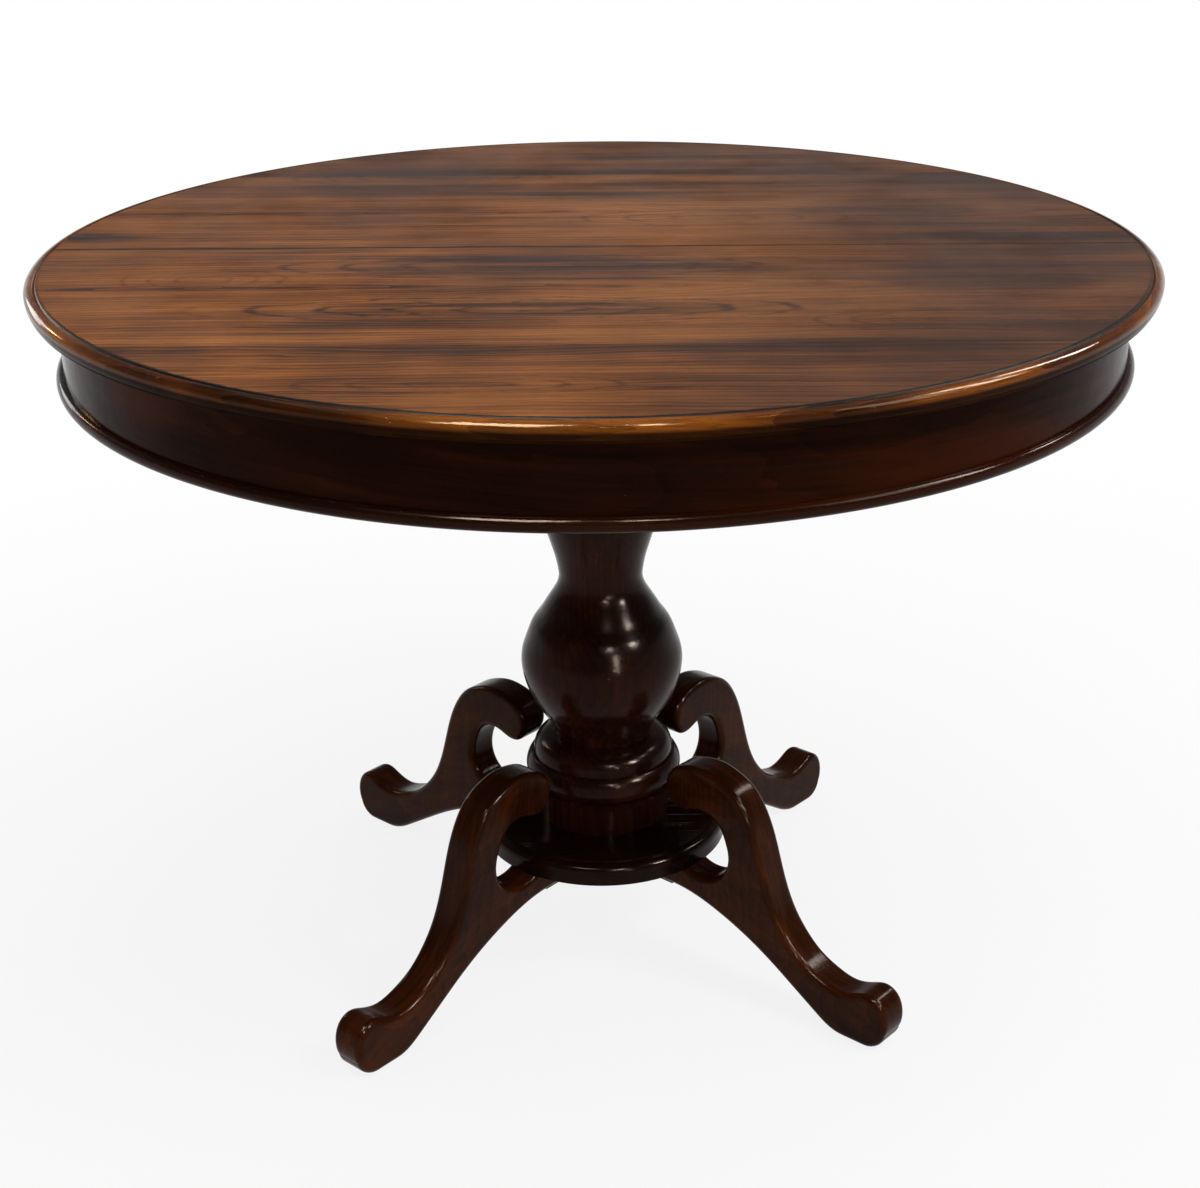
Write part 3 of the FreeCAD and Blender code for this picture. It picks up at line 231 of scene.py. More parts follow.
def new_group(name, inputs, outputs, kind="ShaderNodeTree"):
    """A group with inputs as (name, socket, value) and outputs as (name, socket)."""
    tree = bpy.data.node_groups.new(name, kind)
    for label, socket, value in inputs:
        item = tree.interface.new_socket(label, in_out="INPUT", socket_type="NodeSocket" + socket)
        if value is not None:
            item.default_value = value
    for label, socket in outputs:
        tree.interface.new_socket(label, in_out="OUTPUT", socket_type="NodeSocket" + socket)
    net = Net(tree)
    net.given = net.add("NodeGroupInput").outputs
    net.result = net.add("NodeGroupOutput").inputs
    return net


# Shared effects of the wood. In each, the grain runs along X of the vector handed in.
def make_grain():
    """Ribbons, strands, fibres, pores, fine lines and slow patches of straight wood."""
    net = new_group("Wood grain", [
        ("Vector", "Vector", None), ("Seed", "Float", 0.0), ("Wander", "Float", 0.012)],
        [("Ribbon", "Float"), ("Strand", "Float"), ("Fibre", "Float"), ("Pores", "Float"),
         ("Lines", "Float"), ("Patch", "Float")])
    place = net.vector("ADD", net.given["Vector"], net.join(net.given["Seed"], 0.0, net.given["Seed"]))
    slow = net.add("ShaderNodeMapping", {"Vector": place, "Scale": (2.2, 5.0, 5.0)})
    drift = net.add("ShaderNodeTexNoise", {"Vector": slow.outputs[0], "Scale": 1.0, "Detail": 2.0})
    centred = net.vector("SUBTRACT", drift.outputs["Color"], (0.5, 0.5, 0.5))
    bent = net.vector("ADD", place, net.vector("MULTIPLY", centred, net.join(
        0.0, net.given["Wander"], net.given["Wander"])))

    def drawn_out(along, across, detail, rough, bend=0.0):
        scaled = net.add("ShaderNodeMapping", {"Vector": bent, "Scale": (along, across, across)})
        return net.noise(scaled.outputs[0], 1.0, detail, rough, bend)

    patch = net.noise(place, 3.4, 3.0, 0.55)
    lines = net.product(net.span(drawn_out(0.8, 150.0, 3.0, 0.55), 0.57, 0.63),
                     net.span(patch, 0.40, 0.62, 1.0, 0.2))
    return net.give(Ribbon=drawn_out(1.2, 30.0, 5.0, 0.66, 0.4), Strand=drawn_out(2.6, 150.0, 5.0, 0.7),
                    Fibre=drawn_out(18.0, 900.0, 2.0, 0.6),
                    Pores=net.span(drawn_out(70.0, 1400.0, 1.0, 0.4), 0.60, 0.70),
                    Lines=lines, Patch=patch)


def make_rings():
    """Growth rings about a heart line, as the surface cuts them."""
    net = new_group("Growth rings", [
        ("Vector", "Vector", None), ("Heart", "Float", 0.0), ("Depth", "Float", 0.05),
        ("Slope", "Float", 0.05), ("Spacing", "Float", 0.008), ("Wobble", "Float", 0.012),
        ("Seed", "Float", 0.0)], [("Rings", "Float"), ("Late", "Float")])
    part = net.split(net.given["Vector"])
    long = net.add("ShaderNodeMapping", {"Vector": net.vector(
        "ADD", net.given["Vector"], net.join(net.given["Seed"], 0.0, 0.0)),
        "Scale": (2.6, 7.0, 7.0)}).outputs[0]
    waves = net.add("ShaderNodeTexNoise", {"Vector": long, "Scale": 1.0, "Detail": 4.0,
                                           "Roughness": 0.55})
    shift = net.product(net.calc("SUBTRACT", waves.outputs["Fac"], 0.5), net.given["Wobble"])
    across = net.calc("ADD", net.calc("SUBTRACT", part[1], net.given["Heart"]), shift)
    down = net.calc("ADD", net.calc("MULTIPLY_ADD", part[0], net.given["Slope"], net.given["Depth"]),
                    net.calc("ADD", part[2], shift))
    away = net.calc("SQRT", net.calc("MULTIPLY_ADD", across, across, net.product(down, down)))
    count = net.calc("DIVIDE", away, net.given["Spacing"])
    uneven = net.calc("MULTIPLY_ADD", net.noise(net.join(count, 0.0, net.given["Seed"]), 0.6, 2.0),
                      1.6, count)
    part_ring = net.calc("FRACT", uneven)
    return net.give(Rings=part_ring, Late=net.product(net.span(part_ring, 0.55, 0.92),
                                                      net.span(part_ring, 1.0, 0.95)))


def make_rag():
    """Long noise that frays the sides and ends of the placed streaks."""
    net = new_group("Ragged edge", [("Vector", "Vector", None), ("Seed", "Float", 0.0)],
                    [("Rag", "Float")])
    moved = net.vector("ADD", net.given["Vector"], net.join(net.given["Seed"], 0.0, 0.0))
    long = net.add("ShaderNodeMapping", {"Vector": moved, "Scale": (9.0, 60.0, 1.0)}).outputs[0]
    return net.give(Rag=net.calc("SUBTRACT", net.noise(long, 1.0, 4.0, 0.6), 0.5))


def make_streak():
    """An oval streak at a place, with rings inside it for the pointed figures."""
    net = new_group("Placed streak", [
        ("Vector", "Vector", None), ("Rag", "Float", 0.0), ("Centre", "Vector", None),
        ("Length", "Float", 0.1), ("Width", "Float", 0.01), ("Rings", "Float", 3.0)],
        [("Mask", "Float"), ("Eye", "Float"), ("Inside", "Float")])
    aim = net.split(net.vector("SUBTRACT", net.given["Vector"], net.given["Centre"]))
    rag = net.given["Rag"]
    far = net.calc("DIVIDE", aim[0], net.given["Length"])
    side = net.calc("MULTIPLY_ADD", rag, 0.7, net.calc("DIVIDE", aim[1], net.given["Width"]))
    away = net.calc("SQRT", net.calc("MULTIPLY_ADD", far, far, net.product(side, side)))
    return net.give(Mask=net.span(net.calc("MULTIPLY_ADD", rag, 0.9, away), 1.0, 0.25),
                    Eye=net.calc("PINGPONG", net.product(away, net.given["Rings"]), 0.5),
                    Inside=net.span(away, 1.08, 0.8))


def make_polish():
    """Cloudy gloss with fine scratches and a slow ripple."""
    net = new_group("Old polish", [
        ("Vector", "Vector", None), ("Gloss", "Float", 0.3), ("Wear", "Float", 0.12),
        ("Seed", "Float", 0.0)], [("Roughness", "Float"), ("Height", "Float")])
    place = net.vector("ADD", net.given["Vector"], net.join(net.given["Seed"], net.given["Seed"], 0.0))
    cloud = net.noise(place, 5.5, 4.0, 0.6)
    dull = net.span(cloud, 0.42, 0.72)
    turned = net.add("ShaderNodeMapping", {"Vector": place, "Rotation": (0.0, 0.0, 0.7),
                                           "Scale": (14.0, 900.0, 900.0)}).outputs[0]
    scratch = net.span(net.noise(turned, 1.0, 1.0, 0.4), 0.70, 0.76)
    rough = net.calc("MULTIPLY_ADD", dull, net.given["Wear"], net.given["Gloss"])
    ripple = net.noise(place, 26.0, 3.0, 0.5)
    return net.give(Roughness=net.calc("MULTIPLY_ADD", scratch, 0.10, rough),
                    Height=net.calc("MULTIPLY_ADD", scratch, -0.25, ripple))


def make_wear():
    """Rubbed edges, and grime in patches."""
    net = new_group("Rubbed edge", [
        ("Vector", "Vector", None), ("Reach", "Float", 0.003)], [("Edge", "Float"), ("Grime", "Float")])
    bevel = net.add("ShaderNodeBevel", {"Radius": net.given["Reach"]}, samples=4)
    normal = net.add("ShaderNodeNewGeometry").outputs["Normal"]
    bent = net.calc("SUBTRACT", 1.0, net.vector("DOT_PRODUCT", bevel.outputs[0], normal))
    broken = net.span(net.noise(net.given["Vector"], 70.0, 4.0, 0.65), 0.35, 0.7)
    return net.give(Edge=net.product(net.span(bent, 0.01, 0.12), broken),
                    Grime=net.span(net.noise(net.given["Vector"], 9.0, 5.0, 0.6), 0.5, 0.8))


def make_round():
    """A place as length along the edge, height and distance from the middle."""
    net = new_group("Round frame", [
        ("Vector", "Vector", None), ("Radius", "Float", 0.5), ("Tilt", "Float", 0.0)],
        [("Along", "Vector"), ("Turn", "Float"), ("Out", "Float")])
    part = net.split(net.given["Vector"])
    turn = net.calc("ARCTAN2", part[0], net.product(part[1], -1.0))
    out = net.calc("SQRT", net.calc("MULTIPLY_ADD", part[0], part[0],
                                    net.product(part[1], part[1])))
    along = net.product(turn, net.given["Radius"])
    up = net.calc("MULTIPLY_ADD", along, net.given["Tilt"], part[2])
    return net.give(Along=net.join(along, up, out), Turn=turn, Out=out)


def make_groove():
    """Painted shade in the round groove, strongest at the front and fading towards the back."""
    net = new_group("Groove shade", [
        ("Vector", "Vector", None), ("Radius", "Float", GROOVE_RADIUS),
        ("Width", "Float", GROOVE_WIDTH)], [("Mask", "Float")])
    bend = net.use(ROUND, Vector=net.given["Vector"])
    gap = net.calc("ABSOLUTE", net.calc("SUBTRACT", bend["Out"], net.given["Radius"]))
    rag = net.noise(net.given["Vector"], 120.0, 3.0, 0.6)
    edge = net.product(net.given["Width"], net.span(rag, 0.3, 0.7, 0.85, 1.25))
    near = net.span(net.split(net.given["Vector"])[1], -0.02, -0.34, 0.12, 1.0)
    return net.give(Mask=net.product(net.span(net.calc("DIVIDE", gap, edge), 1.0, 0.8), near))


GRAIN, RINGS, RAG, STREAK = make_grain(), make_rings(), make_rag(), make_streak()
POLISH, WEAR, ROUND = make_polish(), make_wear(), make_round()
GROOVE = make_groove()


def start_material(name):
    """A new material with no nodes."""
    material = bpy.data.materials.new(name)
    material.use_nodes = True
    material.node_tree.nodes.clear()
    return material, Net(material.node_tree)


def end_material(net, colour, roughness, grain, depth, ripple=None, swell=0.0004, **settings):
    """Ends a material with a shallow grain and, where it is polished, a slow ripple."""
    bump = net.add("ShaderNodeBump", {"Strength": 1.0, "Distance": depth, "Height": grain})
    if ripple is not None:
        bump = net.add("ShaderNodeBump", {"Strength": 1.0, "Distance": swell, "Height": ripple,
                                          "Normal": bump.outputs[0]})
    inputs = {"Base Color": colour, "Roughness": roughness, "Normal": bump.outputs[0]}
    inputs.update(settings)
    shader = net.add("ShaderNodeBsdfPrincipled", inputs)
    net.add("ShaderNodeOutputMaterial", {"Surface": shader.outputs[0]})


def wood_colour(net, vector, stops, seed, rings, ring_share=0.3, late=0.1, strand=0.5, wander=0.012,
                lines=0.5, patch=0.5):
    """Colour and height of wood whose grain runs along X of the vector.

    ring_share sets how much of the figure the growth rings make, late how dark their late wood
    is, strand the contrast of the strands, wander how far the grain leaves a straight line,
    lines the strength of the fine dark lines and patch that of the slow change of tone."""
    grain = net.use(GRAIN, Vector=vector, Seed=seed, Wander=wander)
    ring = net.use(RINGS, Vector=vector, Seed=seed, **rings)
    figure = net.add("ShaderNodeMix", {0: ring_share, 2: grain["Ribbon"], 3: ring["Rings"]}).outputs[0]
    figure = net.calc("MULTIPLY_ADD", net.calc("SUBTRACT", grain["Patch"], 0.5), patch, figure)
    colour = net.ramp(figure, stops)
    colour = net.mix(net.product(ring["Late"], late), colour, stops[0][1])
    strands = net.ramp(grain["Strand"], [(0.36, (0.58, 0.55, 0.53, 1)), (0.64, (1.36, 1.36, 1.34, 1))])
    colour = net.mix(strand, colour, strands, "MULTIPLY")
    fibres = net.ramp(grain["Fibre"], [(0.25, (0.62, 0.60, 0.58, 1)), (0.75, (1.38, 1.38, 1.36, 1))])
    colour = net.mix(0.5, colour, fibres, "MULTIPLY")
    colour = net.mix(net.product(grain["Lines"], lines), colour, LINE_DARK)
    colour = net.mix(net.product(grain["Pores"], 0.45), colour, PORE_DARK)
    height = net.calc("MULTIPLY_ADD", grain["Pores"], -0.9, grain["Fibre"])
    return colour, height, grain


def top_material():
    """The boards of the top: grain, clouds, streaks, pointed figures, joints and seam, with painted
    shade in the groove and towards the right and the back.
    """
    material, net = start_material("top_wood")
    where = net.add("ShaderNodeTexCoord").outputs["Object"]
    part = net.split(where)
    beyond = net.calc("GREATER_THAN", net.calc("ABSOLUTE", part[1]), BOARD_JOINT)
    rear = net.calc("GREATER_THAN", part[1], 0.0)
    folded = net.calc("MULTIPLY_ADD", beyond, 0.173, net.calc("ABSOLUTE", part[1]))
    moved = net.calc("ADD", part[0], net.calc("MULTIPLY_ADD", beyond, 0.9, net.calc(
        "MULTIPLY", rear, 0.06)))
    vector = net.join(moved, folded, part[2])
    stops = [(0.32, linear(60, 33, 15)), (0.44, linear(114, 64, 26)), (0.55, linear(150, 88, 38)),
             (0.70, linear(174, 110, 54))]
    rings = dict(Heart=0.150, Depth=-0.742, Slope=0.06, Spacing=0.0075, Wobble=0.045)
    colour, height, grain = wood_colour(net, vector, stops, 3.0, rings, ring_share=0.25, late=0.4,
                                        strand=0.48, wander=0.02, lines=0.55, patch=0.9)
    dark = linear(34, 26, 25)
    rag = net.use(RAG, Vector=where)["Rag"]
    for centre, length, width, share in TOP_CLOUDS:
        cloud = net.use(STREAK, Vector=where, Rag=rag, Centre=(*centre, TOP_LEVEL), Length=length,
                        Width=width)
        soft = net.product(cloud["Mask"], net.span(grain["Ribbon"], 0.35, 0.65, 1.0, 0.5), share)
        colour = net.mix(soft, colour, linear(58, 40, 34))
    for centre, length, width, share, tone in TOP_STREAKS:
        streak = net.use(STREAK, Vector=where, Rag=rag, Centre=(*centre, TOP_LEVEL), Length=length,
                         Width=width)
        fibre = net.product(streak["Mask"], share, net.span(grain["Strand"], 0.40, 0.60, 1.0, 0.4))
        colour = net.mix(fibre, colour, tone or dark)
    for centre, length, width, count, share in TOP_EYES:
        eye = net.use(STREAK, Vector=where, Rag=rag, Centre=(*centre, TOP_LEVEL), Length=length,
                      Width=width, Rings=count)
        ring = net.product(net.span(eye["Eye"], 0.16, 0.02), eye["Inside"],
                           net.span(grain["Strand"], 0.40, 0.60, 1.0, 0.5), share)
        colour = net.mix(ring, colour, linear(30, 18, 13))
    # Painted shade: the top darkens towards the right and the back, where less light falls, varied by
    # the slow patches
    shade = net.calc("MAXIMUM", net.span(part[0], -0.25, 0.38, 0.0, 0.72),
                     net.span(part[1], 0.0, 0.40, 0.0, 0.50))
    shade = net.product(shade, net.span(grain["Patch"], 0.3, 0.7, 1.15, 0.85))
    colour = net.mix(shade, colour, linear(54, 35, 29))
    across = net.calc("ABSOLUTE", part[1])
    for place, width, share in ((BOARD_JOINT, 0.0013, 0.8), (0.3462, 0.0010, 0.5),
                                (0.391, 0.0008, 0.35)):
        line = net.span(net.calc("ABSOLUTE", net.calc("SUBTRACT", across, place)), width, 0.0)
        broken = net.span(net.noise(net.join(part[0], 0.0, 0.0), 22.0, 3.0), 0.3, 0.6, 0.35, 1.0)
        colour = net.mix(net.product(line, broken, share), colour, JOINT_DARK)
    seam = net.span(across, 0.0035, 0.0008)
    torn = net.span(net.noise(where, 45.0, 4.0), 0.35, 0.7, 0.4, 1.0)
    colour = net.mix(net.product(seam, torn, 0.85), colour, SEAM_DARK)
    # Painted shade in the groove, strongest at the front
    groove = net.use(GROOVE, Vector=where)
    colour = net.mix(groove["Mask"], colour, GROOVE_SHADE)
    polish = net.use(POLISH, Vector=where, Gloss=0.34, Wear=0.14, Seed=1.0)
    end_material(net, colour, polish["Roughness"], height, 0.00003, polish["Height"], 0.0003, IOR=1.14,
                 **{"Specular Tint": (1.0, 0.92, 0.84, 1.0)})
    return material


# Clouds and streaks of the top: centre, half length, half width, strength and, for streaks, colour
TOP_CLOUDS = [
    ((-0.01, -0.085), 0.34, 0.075, 0.65), ((0.02, 0.240), 0.30, 0.085, 0.6),
    ((-0.04, -0.228), 0.30, 0.045, 0.45), ((0.36, -0.125), 0.22, 0.080, 0.6),
    ((0.20, -0.330), 0.22, 0.020, 0.5), ((-0.20, 0.340), 0.26, 0.050, 0.45),
    ((0.10, 0.440), 0.22, 0.030, 0.5), ((0.33, 0.160), 0.16, 0.060, 0.5)]
TOP_STREAKS = [
    ((-0.03, -0.050), 0.24, 0.019, 1.0, BLUE_BLACK), ((0.02, -0.078), 0.19, 0.015, 1.0, BLUE_BLACK),
    ((-0.11, -0.100), 0.14, 0.010, 0.85, None), ((-0.02, -0.122), 0.15, 0.009, 0.85, None),
    ((0.16, -0.095), 0.12, 0.014, 0.7, None), ((-0.28, -0.018), 0.12, 0.010, 0.6, None),
    ((-0.08, -0.215), 0.20, 0.010, 0.85, None), ((-0.02, -0.243), 0.17, 0.010, 0.75, None),
    ((0.06, -0.228), 0.14, 0.008, 0.7, None), ((0.30, -0.060), 0.16, 0.016, 0.65, None),
    ((-0.27, -0.300), 0.15, 0.006, 0.6, None), ((0.20, -0.330), 0.16, 0.007, 0.7, None),
    ((0.06, -0.275), 0.024, 0.0018, 1.0, None), ((0.061, -0.4575), 0.026, 0.0022, 1.0, None),
    ((-0.105, -0.446), 0.09, 0.006, 0.7, None), ((-0.01, 0.235), 0.15, 0.022, 0.9, None),
    ((0.06, 0.285), 0.14, 0.028, 0.85, None), ((0.25, 0.150), 0.17, 0.020, 0.65, None),
    ((-0.16, 0.120), 0.18, 0.016, 0.7, None), ((-0.22, 0.250), 0.16, 0.018, 0.7, None),
    ((0.00, 0.350), 0.20, 0.018, 0.7, None), ((0.12, 0.430), 0.16, 0.016, 0.6, None),
    ((-0.50, 0.050), 0.09, 0.030, 1.0, BLUE_BLACK), ((0.43, 0.034), 0.17, 0.030, 1.0, BLUE_BLACK),
    ((0.39, -0.140), 0.17, 0.040, 0.6, None), ((-0.30, 0.110), 0.14, 0.020, 0.5, None)]
# Pointed figures of the top: centre, half length, half width, number of rings, strength
TOP_EYES = [((-0.06, -0.228), 0.30, 0.047, 5.0, 0.8), ((-0.07, -0.075), 0.28, 0.052, 5.0, 0.6),
            ((0.32, -0.270), 0.16, 0.045, 5.0, 0.55), ((-0.10, -0.446), 0.17, 0.030, 4.0, 0.55),
            ((0.12, 0.120), 0.18, 0.045, 4.0, 0.5), ((-0.36, -0.120), 0.10, 0.05, 4.0, 0.4),
            ((-0.20, 0.330), 0.18, 0.05, 5.0, 0.5)]


def placed(net, colour, tone, places, vector, rag):
    """Lays streaks of one tone over a colour: centre, half length, half width and strength of each."""
    for centre, length, width, share in places:
        streak = net.use(STREAK, Vector=vector, Rag=rag, Centre=(*centre, 0.0), Length=length,
                         Width=width)
        colour = net.mix(net.product(streak["Mask"], share), colour, tone)
    return colour


def curved_material(name, stops, seed, gloss, ior, joints=(), hearts=(), groove=False, painted_glows=(),
                    patch=0.5, swell=0.0005, tint=(1.0, 0.80, 0.62, 1.0)):
    """Wood whose grain follows the table's edge, with dark hearts and, at places, lighter patches that
    are painted warm reflections; with groove set, also painted shade in the groove and under the nose.
    """
    material, net = start_material(name)
    where = net.add("ShaderNodeTexCoord").outputs["Object"]
    bend = net.use(ROUND, Vector=where, Radius=0.52, Tilt=0.05)
    rings = dict(Heart=0.70, Depth=-0.40, Slope=0.02, Spacing=0.010, Wobble=0.05)
    colour, height, grain = wood_colour(net, bend["Along"], stops, seed, rings, ring_share=0.12,
                                        late=0.0, strand=0.4, wander=0.02, lines=0.3, patch=patch)
    rag = net.use(RAG, Vector=bend["Along"], Seed=seed)["Rag"]
    colour = placed(net, colour, stops[0][1], hearts, bend["Along"], rag)
    # Painted reflection: lighter warm patches where warm light would reflect
    colour = placed(net, colour, stops[-1][1], painted_glows, bend["Along"], rag)
    for turn, width in joints:
        line = net.span(net.calc("ABSOLUTE", net.calc("SUBTRACT", bend["Turn"], turn)), width, 0.0)
        colour = net.mix(net.product(line, 0.85), colour, VENEER_JOINT)
    wear = net.use(WEAR, Vector=where, Reach=0.0015)
    colour = net.mix(net.product(wear["Edge"], 0.3), colour, stops[-1][1])
    shine = 0.5
    if groove:
        # Painted shade: the nose darkens below the level where it turns under
        under = net.span(net.split(where)[2], NOSE_TURN, NOSE_UNDER)
        colour = net.mix(net.product(under, 0.85), colour, UNDER_SHADE)
        # Painted shade in the groove; this mask also lowers the polish there
        groove_shade = net.use(GROOVE, Vector=where)
        colour = net.mix(groove_shade["Mask"], colour, GROOVE_SHADE)
        shine = net.span(net.calc("MAXIMUM", groove_shade["Mask"], under), 0.0, 1.0, 0.5, 0.06)
    polish = net.use(POLISH, Vector=where, Gloss=gloss, Wear=0.08, Seed=seed)
    end_material(net, colour, polish["Roughness"], height, 0.00001, polish["Height"], swell, IOR=ior,
                 **{"Specular Tint": tint, "Specular IOR Level": shine})
    return material


def base_material(name, stops, seed, gloss, ior, radial):
    """Dark wood of the pillar, the plinth or the legs."""
    material, net = start_material(name)
    where = net.add("ShaderNodeTexCoord").outputs["Object"]
    part = net.split(where)
    if radial == "leg":
        bend = net.use(ROUND, Vector=where, Radius=0.6)
        across = net.calc("MULTIPLY_ADD", bend["Out"], 0.35, part[2])
        vector = net.join(bend["Out"], across, bend["Turn"])
        rings = dict(Heart=0.20, Depth=0.05, Slope=0.1, Spacing=0.007, Wobble=0.04)
    elif radial == "pillar":
        vector = net.join(part[2], part[0], part[1])
        rings = dict(Heart=0.02, Depth=0.03, Slope=0.03, Spacing=0.006, Wobble=0.02)
    else:
        vector = net.join(part[0], part[1], part[2])
        rings = dict(Heart=0.0, Depth=-0.10, Slope=0.05, Spacing=0.006, Wobble=0.03)
    colour, height, grain = wood_colour(net, vector, stops, seed, rings, ring_share=0.14, late=0.06,
                                        strand=0.3)
    wear = net.use(WEAR, Vector=where, Reach=0.004)
    colour = net.mix(net.product(wear["Edge"], 0.45), colour, stops[-1][1])
    colour = net.mix(net.product(wear["Grime"], 0.35), colour, GRIME_DARK)
    polish = net.use(POLISH, Vector=where, Gloss=gloss, Wear=0.06, Seed=seed)
    end_material(net, colour, polish["Roughness"], height, 0.00001, polish["Height"], 0.0006, IOR=ior,
                 **{"Specular Tint": (1.0, 0.82, 0.68, 1.0)})
    return material


def inner_material(name, turned):
    """Plain, unpolished wood of the hidden pieces."""
    material, net = start_material(name)
    where = net.add("ShaderNodeTexCoord").outputs["Object"]
    vector = net.add("ShaderNodeMapping", {
        "Vector": where, "Rotation": (0.0, 0.0, math.pi / 2 if turned else 0.0)}).outputs[0]
    stops = [(0.25, linear(112, 78, 48)), (0.5, linear(146, 108, 70)), (0.8, linear(172, 134, 92))]
    rings = dict(Heart=0.03, Depth=-0.60, Slope=0.02, Spacing=0.005, Wobble=0.03)
    colour, height, grain = wood_colour(net, vector, stops, 5.0, rings, ring_share=0.4, late=0.4,
                                        strand=0.6)
    wear = net.use(WEAR, Vector=where, Reach=0.002)
    colour = net.mix(net.product(wear["Grime"], 0.4), colour, linear(64, 42, 28))
    rough = net.span(grain["Fibre"], 0.2, 0.8, 0.62, 0.82)
    end_material(net, colour, rough, height, 0.0003, IOR=1.2)
    return material


def metal_material(name, base, worn, stain, gloss):
    """Old metal with stains, and bright where it is rubbed."""
    material, net = start_material(name)
    where = net.add("ShaderNodeTexCoord").outputs["Object"]
    cloud = net.noise(where, 60.0, 6.0, 0.65, 0.6)
    speck = net.span(net.noise(where, 420.0, 3.0, 0.6), 0.5, 0.68)
    wear = net.use(WEAR, Vector=where, Reach=0.0008)
    colour = net.mix(net.span(cloud, 0.4, 0.68), base, stain)
    colour = net.mix(net.product(speck, 0.4), colour, stain)
    colour = net.mix(net.product(wear["Edge"], 0.7), colour, worn)
    rough = net.span(cloud, 0.35, 0.7, gloss, gloss + 0.3)
    metal = net.span(cloud, 0.45, 0.72, 1.0, 0.35)
    end_material(net, colour, rough, net.noise(where, 900.0, 3.0), 0.00008, Metallic=metal)
    return material


EDGE_STOPS = [(0.30, linear(38, 15, 3)), (0.48, linear(84, 40, 8)), (0.72, linear(148, 82, 20))]
BEAD_STOPS = [(0.25, linear(22, 8, 3)), (0.5, linear(42, 16, 6)), (0.8, linear(70, 30, 10))]
FRIEZE_STOPS = [(0.25, linear(22, 8, 3)), (0.5, linear(42, 16, 6)), (0.8, linear(76, 31, 11))]
LEG_STOPS = [(0.25, linear(28, 11, 3)), (0.5, linear(55, 23, 6)), (0.8, linear(86, 40, 12))]
COLUMN_STOPS = [(0.25, linear(20, 7, 3)), (0.5, linear(40, 15, 6)), (0.8, linear(66, 29, 12))]
PLINTH_STOPS = [(0.25, linear(14, 6, 4)), (0.5, linear(26, 11, 7)), (0.8, linear(42, 19, 11))]
TOP = top_material()
EDGE = curved_material("edge_wood", EDGE_STOPS, 2.0, 0.08, 1.22, groove=True, patch=1.3,
                       tint=(1.0, 0.70, 0.42, 1.0))
BEAD = curved_material("bead_wood", BEAD_STOPS, 4.0, 0.12, 1.16)
# The frieze's lighter patches near its ends are painted warm reflections
FRIEZE = curved_material("frieze_wood", FRIEZE_STOPS, 7.0, 0.12, 1.08, [(-0.963, 0.0016)],
                         [((-0.19, 0.72), 0.10, 0.045, 0.7), ((0.30, 0.70), 0.16, 0.03, 0.5)],
                         painted_glows=[((-0.43, 0.710), 0.09, 0.05, 0.6), ((0.34, 0.700), 0.20, 0.04, 0.4)],
                         patch=0.9)
LEG = base_material("leg_wood", LEG_STOPS, 1.0, 0.14, 1.14, "leg")
COLUMN = base_material("pillar_wood", COLUMN_STOPS, 6.0, 0.16, 1.16, "pillar")
PLINTH = base_material("plinth_wood", PLINTH_STOPS, 8.0, 0.12, 1.16, "plinth")
INNER_X = inner_material("inner_wood_across", False)
INNER_Y = inner_material("inner_wood_along", True)
IRON = metal_material("iron", (0.09, 0.085, 0.08, 1.0), (0.34, 0.33, 0.31, 1.0),
                      (0.075, 0.032, 0.014, 1.0), 0.42)
BRASS = metal_material("brass", (0.52, 0.34, 0.11, 1.0), (0.78, 0.58, 0.26, 1.0),
                       (0.12, 0.075, 0.03, 1.0), 0.28)


# Turned and swept pieces
MERGE_DISTANCE = 0.000004
SAME_POINT = 0.000001
SHARP_ANGLE = math.radians(24)
ROUND_SEGMENTS = 160      # steps of a whole turn
HALF_SEGMENTS = 180       # steps of a half turn


def make_sweep():
    """Carries a profile round the axis: one rule for the turned and the bent pieces."""
    net = new_group("Turned shape", [
        ("Profile", "Geometry", None), ("Centre Y", "Float", 0.0), ("Start", "Float", 0.0),
        ("Sweep", "Float", 2 * math.pi), ("Segments", "Int", ROUND_SEGMENTS),
        ("Material", "Material", None)],
        [("Geometry", "Geometry")], "GeometryNodeTree")
    count = net.add("GeometryNodeAttributeDomainSize", {0: net.given["Profile"]}).outputs["Point Count"]
    wide = net.calc("ADD", net.given["Segments"], 1)
    grid = net.add("GeometryNodeMeshGrid", {"Size X": 1.0, "Size Y": 1.0, "Vertices X": wide,
                                            "Vertices Y": count})
    here = net.split(net.add("GeometryNodeInputPosition").outputs[0])
    turn = net.calc("MULTIPLY_ADD", net.calc("ADD", here[0], 0.5), net.given["Sweep"],
                    net.given["Start"])
    index = net.calc("ROUND", net.product(net.calc("ADD", here[1], 0.5),
                                       net.calc("SUBTRACT", count, 1)))
    taken = net.add("GeometryNodeSampleIndex", {
        "Geometry": net.given["Profile"], "Value": net.add("GeometryNodeInputPosition").outputs[0],
        "Index": index}, data_type="FLOAT_VECTOR", domain="POINT")
    point = net.split(taken.outputs[0])
    x = net.product(point[0], net.calc("COSINE", turn))
    y = net.calc("MULTIPLY_ADD", point[0], net.calc("SINE", turn), net.given["Centre Y"])
    spot = net.join(x, y, point[2])
    named = net.add("GeometryNodeStoreNamedAttribute", {
        "Geometry": grid.outputs["Mesh"], "Name": "UVMap", "Value": grid.outputs["UV Map"]},
        data_type="FLOAT2", domain="CORNER")
    moved = net.add("GeometryNodeSetPosition", {"Geometry": named.outputs[0], "Position": spot})
    closed = net.add("GeometryNodeMergeByDistance", {"Geometry": moved.outputs[0],
                                                     "Distance": MERGE_DISTANCE})
    real = net.add("GeometryNodeRealizeInstances", {"Geometry": closed.outputs[0]})
    done = net.add("GeometryNodeSetMaterial", {"Geometry": real.outputs[0],
                                               "Material": net.given["Material"]})
    return net.give(Geometry=done.outputs[0])


